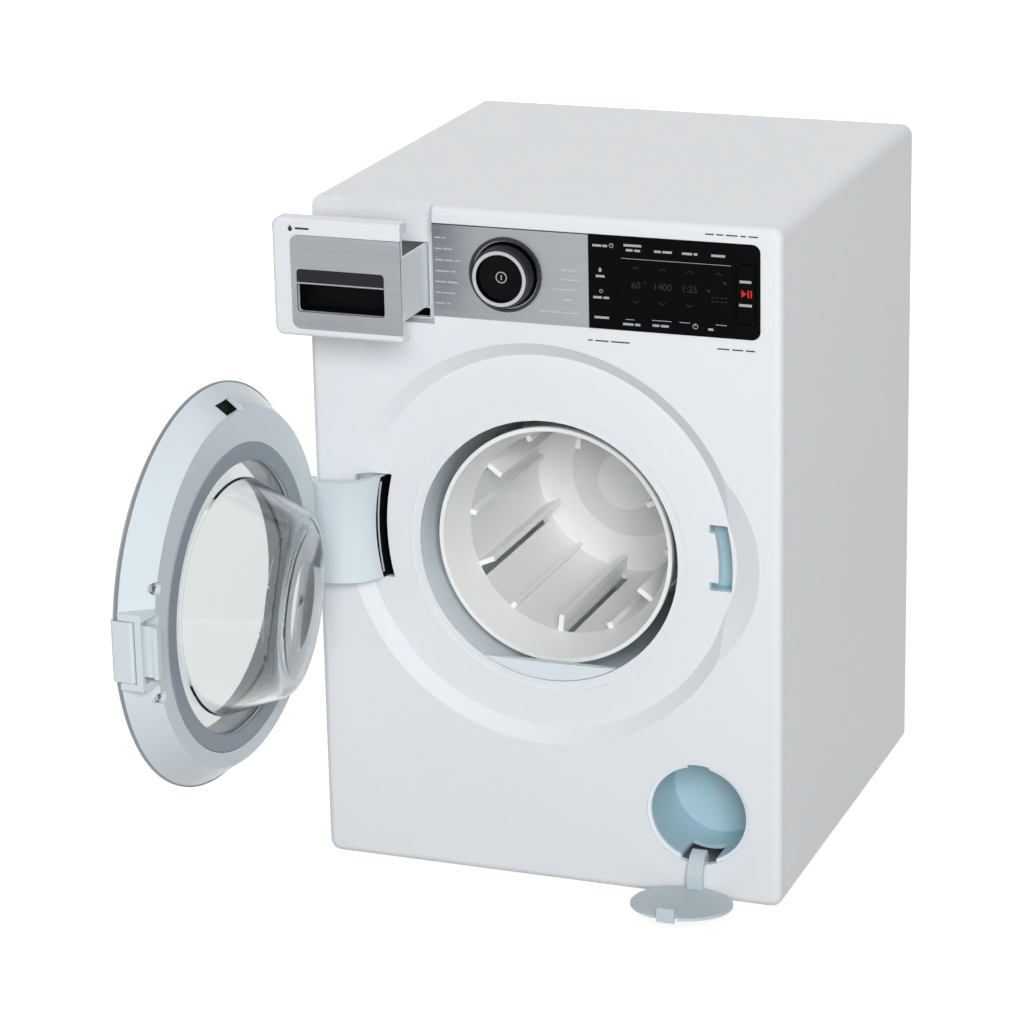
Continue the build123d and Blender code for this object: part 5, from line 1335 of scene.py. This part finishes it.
@dataclass
class Studio:
    """Floor, lamps and surroundings of a product picture on white.

    Args:
        floor_size: edge length of the floor in metres.
        ambient: strength of the surroundings as the machine's own light.
        glow: what the floor adds to its own light near the machine and far from it.
        near: distance from the machine at which the glow starts to rise, in metres.
        far: distance at which it is full.
        lamps: the lamps.
    """

    floor_size: float = 6.0
    ambient: float = 0.12
    glow: tuple[float, float] = (0.82, 1.0)
    near: float = 0.4
    far: float = 1.6
    lamps: tuple[Lamp, ...] = (
        Lamp("key_lamp", (0.74, -1.69, 0.87), 0.8, 31.0, mirrored=False),
        Lamp("left_lamp", (-1.5, -1.0, 1.1), 0.7, 2.0),
        Lamp("top_lamp", (0.0, 0.7, 1.8), 1.2, 10.0, mirrored=False),
        Lamp("back_lamp", (-1.35, 1.35, 0.5), 1.2, 13.0, mirrored=False),
    )

    def build(self) -> None:
        """Create the surroundings, the floor and the lamps."""
        scene = bpy.context.scene
        scene.view_settings.view_transform = "Standard"
        self._surroundings(scene)
        self._floor()
        for lamp in self.lamps:
            lamp.build()

    def _surroundings(self, scene: bpy.types.Scene) -> None:
        """White to the camera and in reflections, dimmer as a light."""
        world = bpy.data.worlds.new("studio_world")
        world.use_nodes = True
        tree = world.node_tree
        background = tree.nodes["Background"]
        background.inputs["Color"].default_value = (1.0, 1.0, 1.0, 1.0)
        strength = tree.nodes.new("ShaderNodeMapRange")
        strength.inputs["To Min"].default_value = self.ambient
        strength.inputs["To Max"].default_value = 1.0
        tree.links.new(seen_ray(tree), strength.inputs["Value"])
        tree.links.new(strength.outputs["Result"], background.inputs["Strength"])
        scene.world = world

    def _floor(self) -> None:
        """A white floor that keeps the machine's shadow."""
        work = bmesh.new()
        bmesh.ops.create_grid(work, x_segments=1, y_segments=1, size=self.floor_size / 2)
        mesh = bpy.data.meshes.new("floor")
        work.to_mesh(mesh)
        work.free()
        mesh.materials.append(self._floor_material())
        floor = bpy.data.objects.new("floor", mesh)
        floor.location.z = -0.0002
        bpy.context.scene.collection.objects.link(floor)
        floor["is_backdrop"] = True

    def _floor_material(self) -> bpy.types.Material:
        """White paper, seen full white outside the shadow.

        Returns:
            The floor's material.
        """
        material = bpy.data.materials.new("floor_paper")
        material.use_nodes = True
        tree = material.node_tree
        shader = tree.nodes["Principled BSDF"]
        shader.inputs["Base Color"].default_value = (0.40, 0.40, 0.40, 1.0)
        shader.inputs["Roughness"].default_value = 0.9
        shader.inputs["Specular IOR Level"].default_value = 0.0
        shader.inputs["Emission Color"].default_value = (1.0, 1.0, 1.0, 1.0)
        spot = tree.nodes.new("ShaderNodeTexCoord")
        distance = tree.nodes.new("ShaderNodeVectorMath")
        distance.operation = "LENGTH"
        tree.links.new(spot.outputs["Object"], distance.inputs[0])
        rise = tree.nodes.new("ShaderNodeMapRange")
        for socket, value in zip(("From Min", "From Max", "To Min", "To Max"),
                                 (self.near, self.far, *self.glow)):
            rise.inputs[socket].default_value = value
        tree.links.new(distance.outputs["Value"], rise.inputs["Value"])
        glow = tree.nodes.new("ShaderNodeMath")
        glow.operation = "MULTIPLY"
        tree.links.new(rise.outputs["Result"], glow.inputs[0])
        tree.links.new(seen_ray(tree), glow.inputs[1])
        tree.links.new(glow.outputs[0], shader.inputs["Emission Strength"])
        return material


def note_size(when: str, sizes: dict[str, list[list[float]]]) -> None:
    """Record the whole object's box.

    Args:
        when: the name of the moment.
        sizes: the boxes noted so far.
    """
    low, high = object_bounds()
    sizes[when] = [list(low), list(high)]


def main() -> None:
    """Load the frame, build every sub-assembly's trim, and set the studio."""
    logging.basicConfig(level=logging.INFO, format="%(name)s: %(message)s")
    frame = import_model()
    sizes: dict[str, list[list[float]]] = {}
    note_size("loaded", sizes)
    for part in (Casing, Drive, Door, Drawer, ControlPanel, ServicePort):
        part(frame["nodes"]).build()
    Studio().build()
    StudioCamera().build()
    note_size("finished", sizes)


if __name__ == "__main__":
    main()
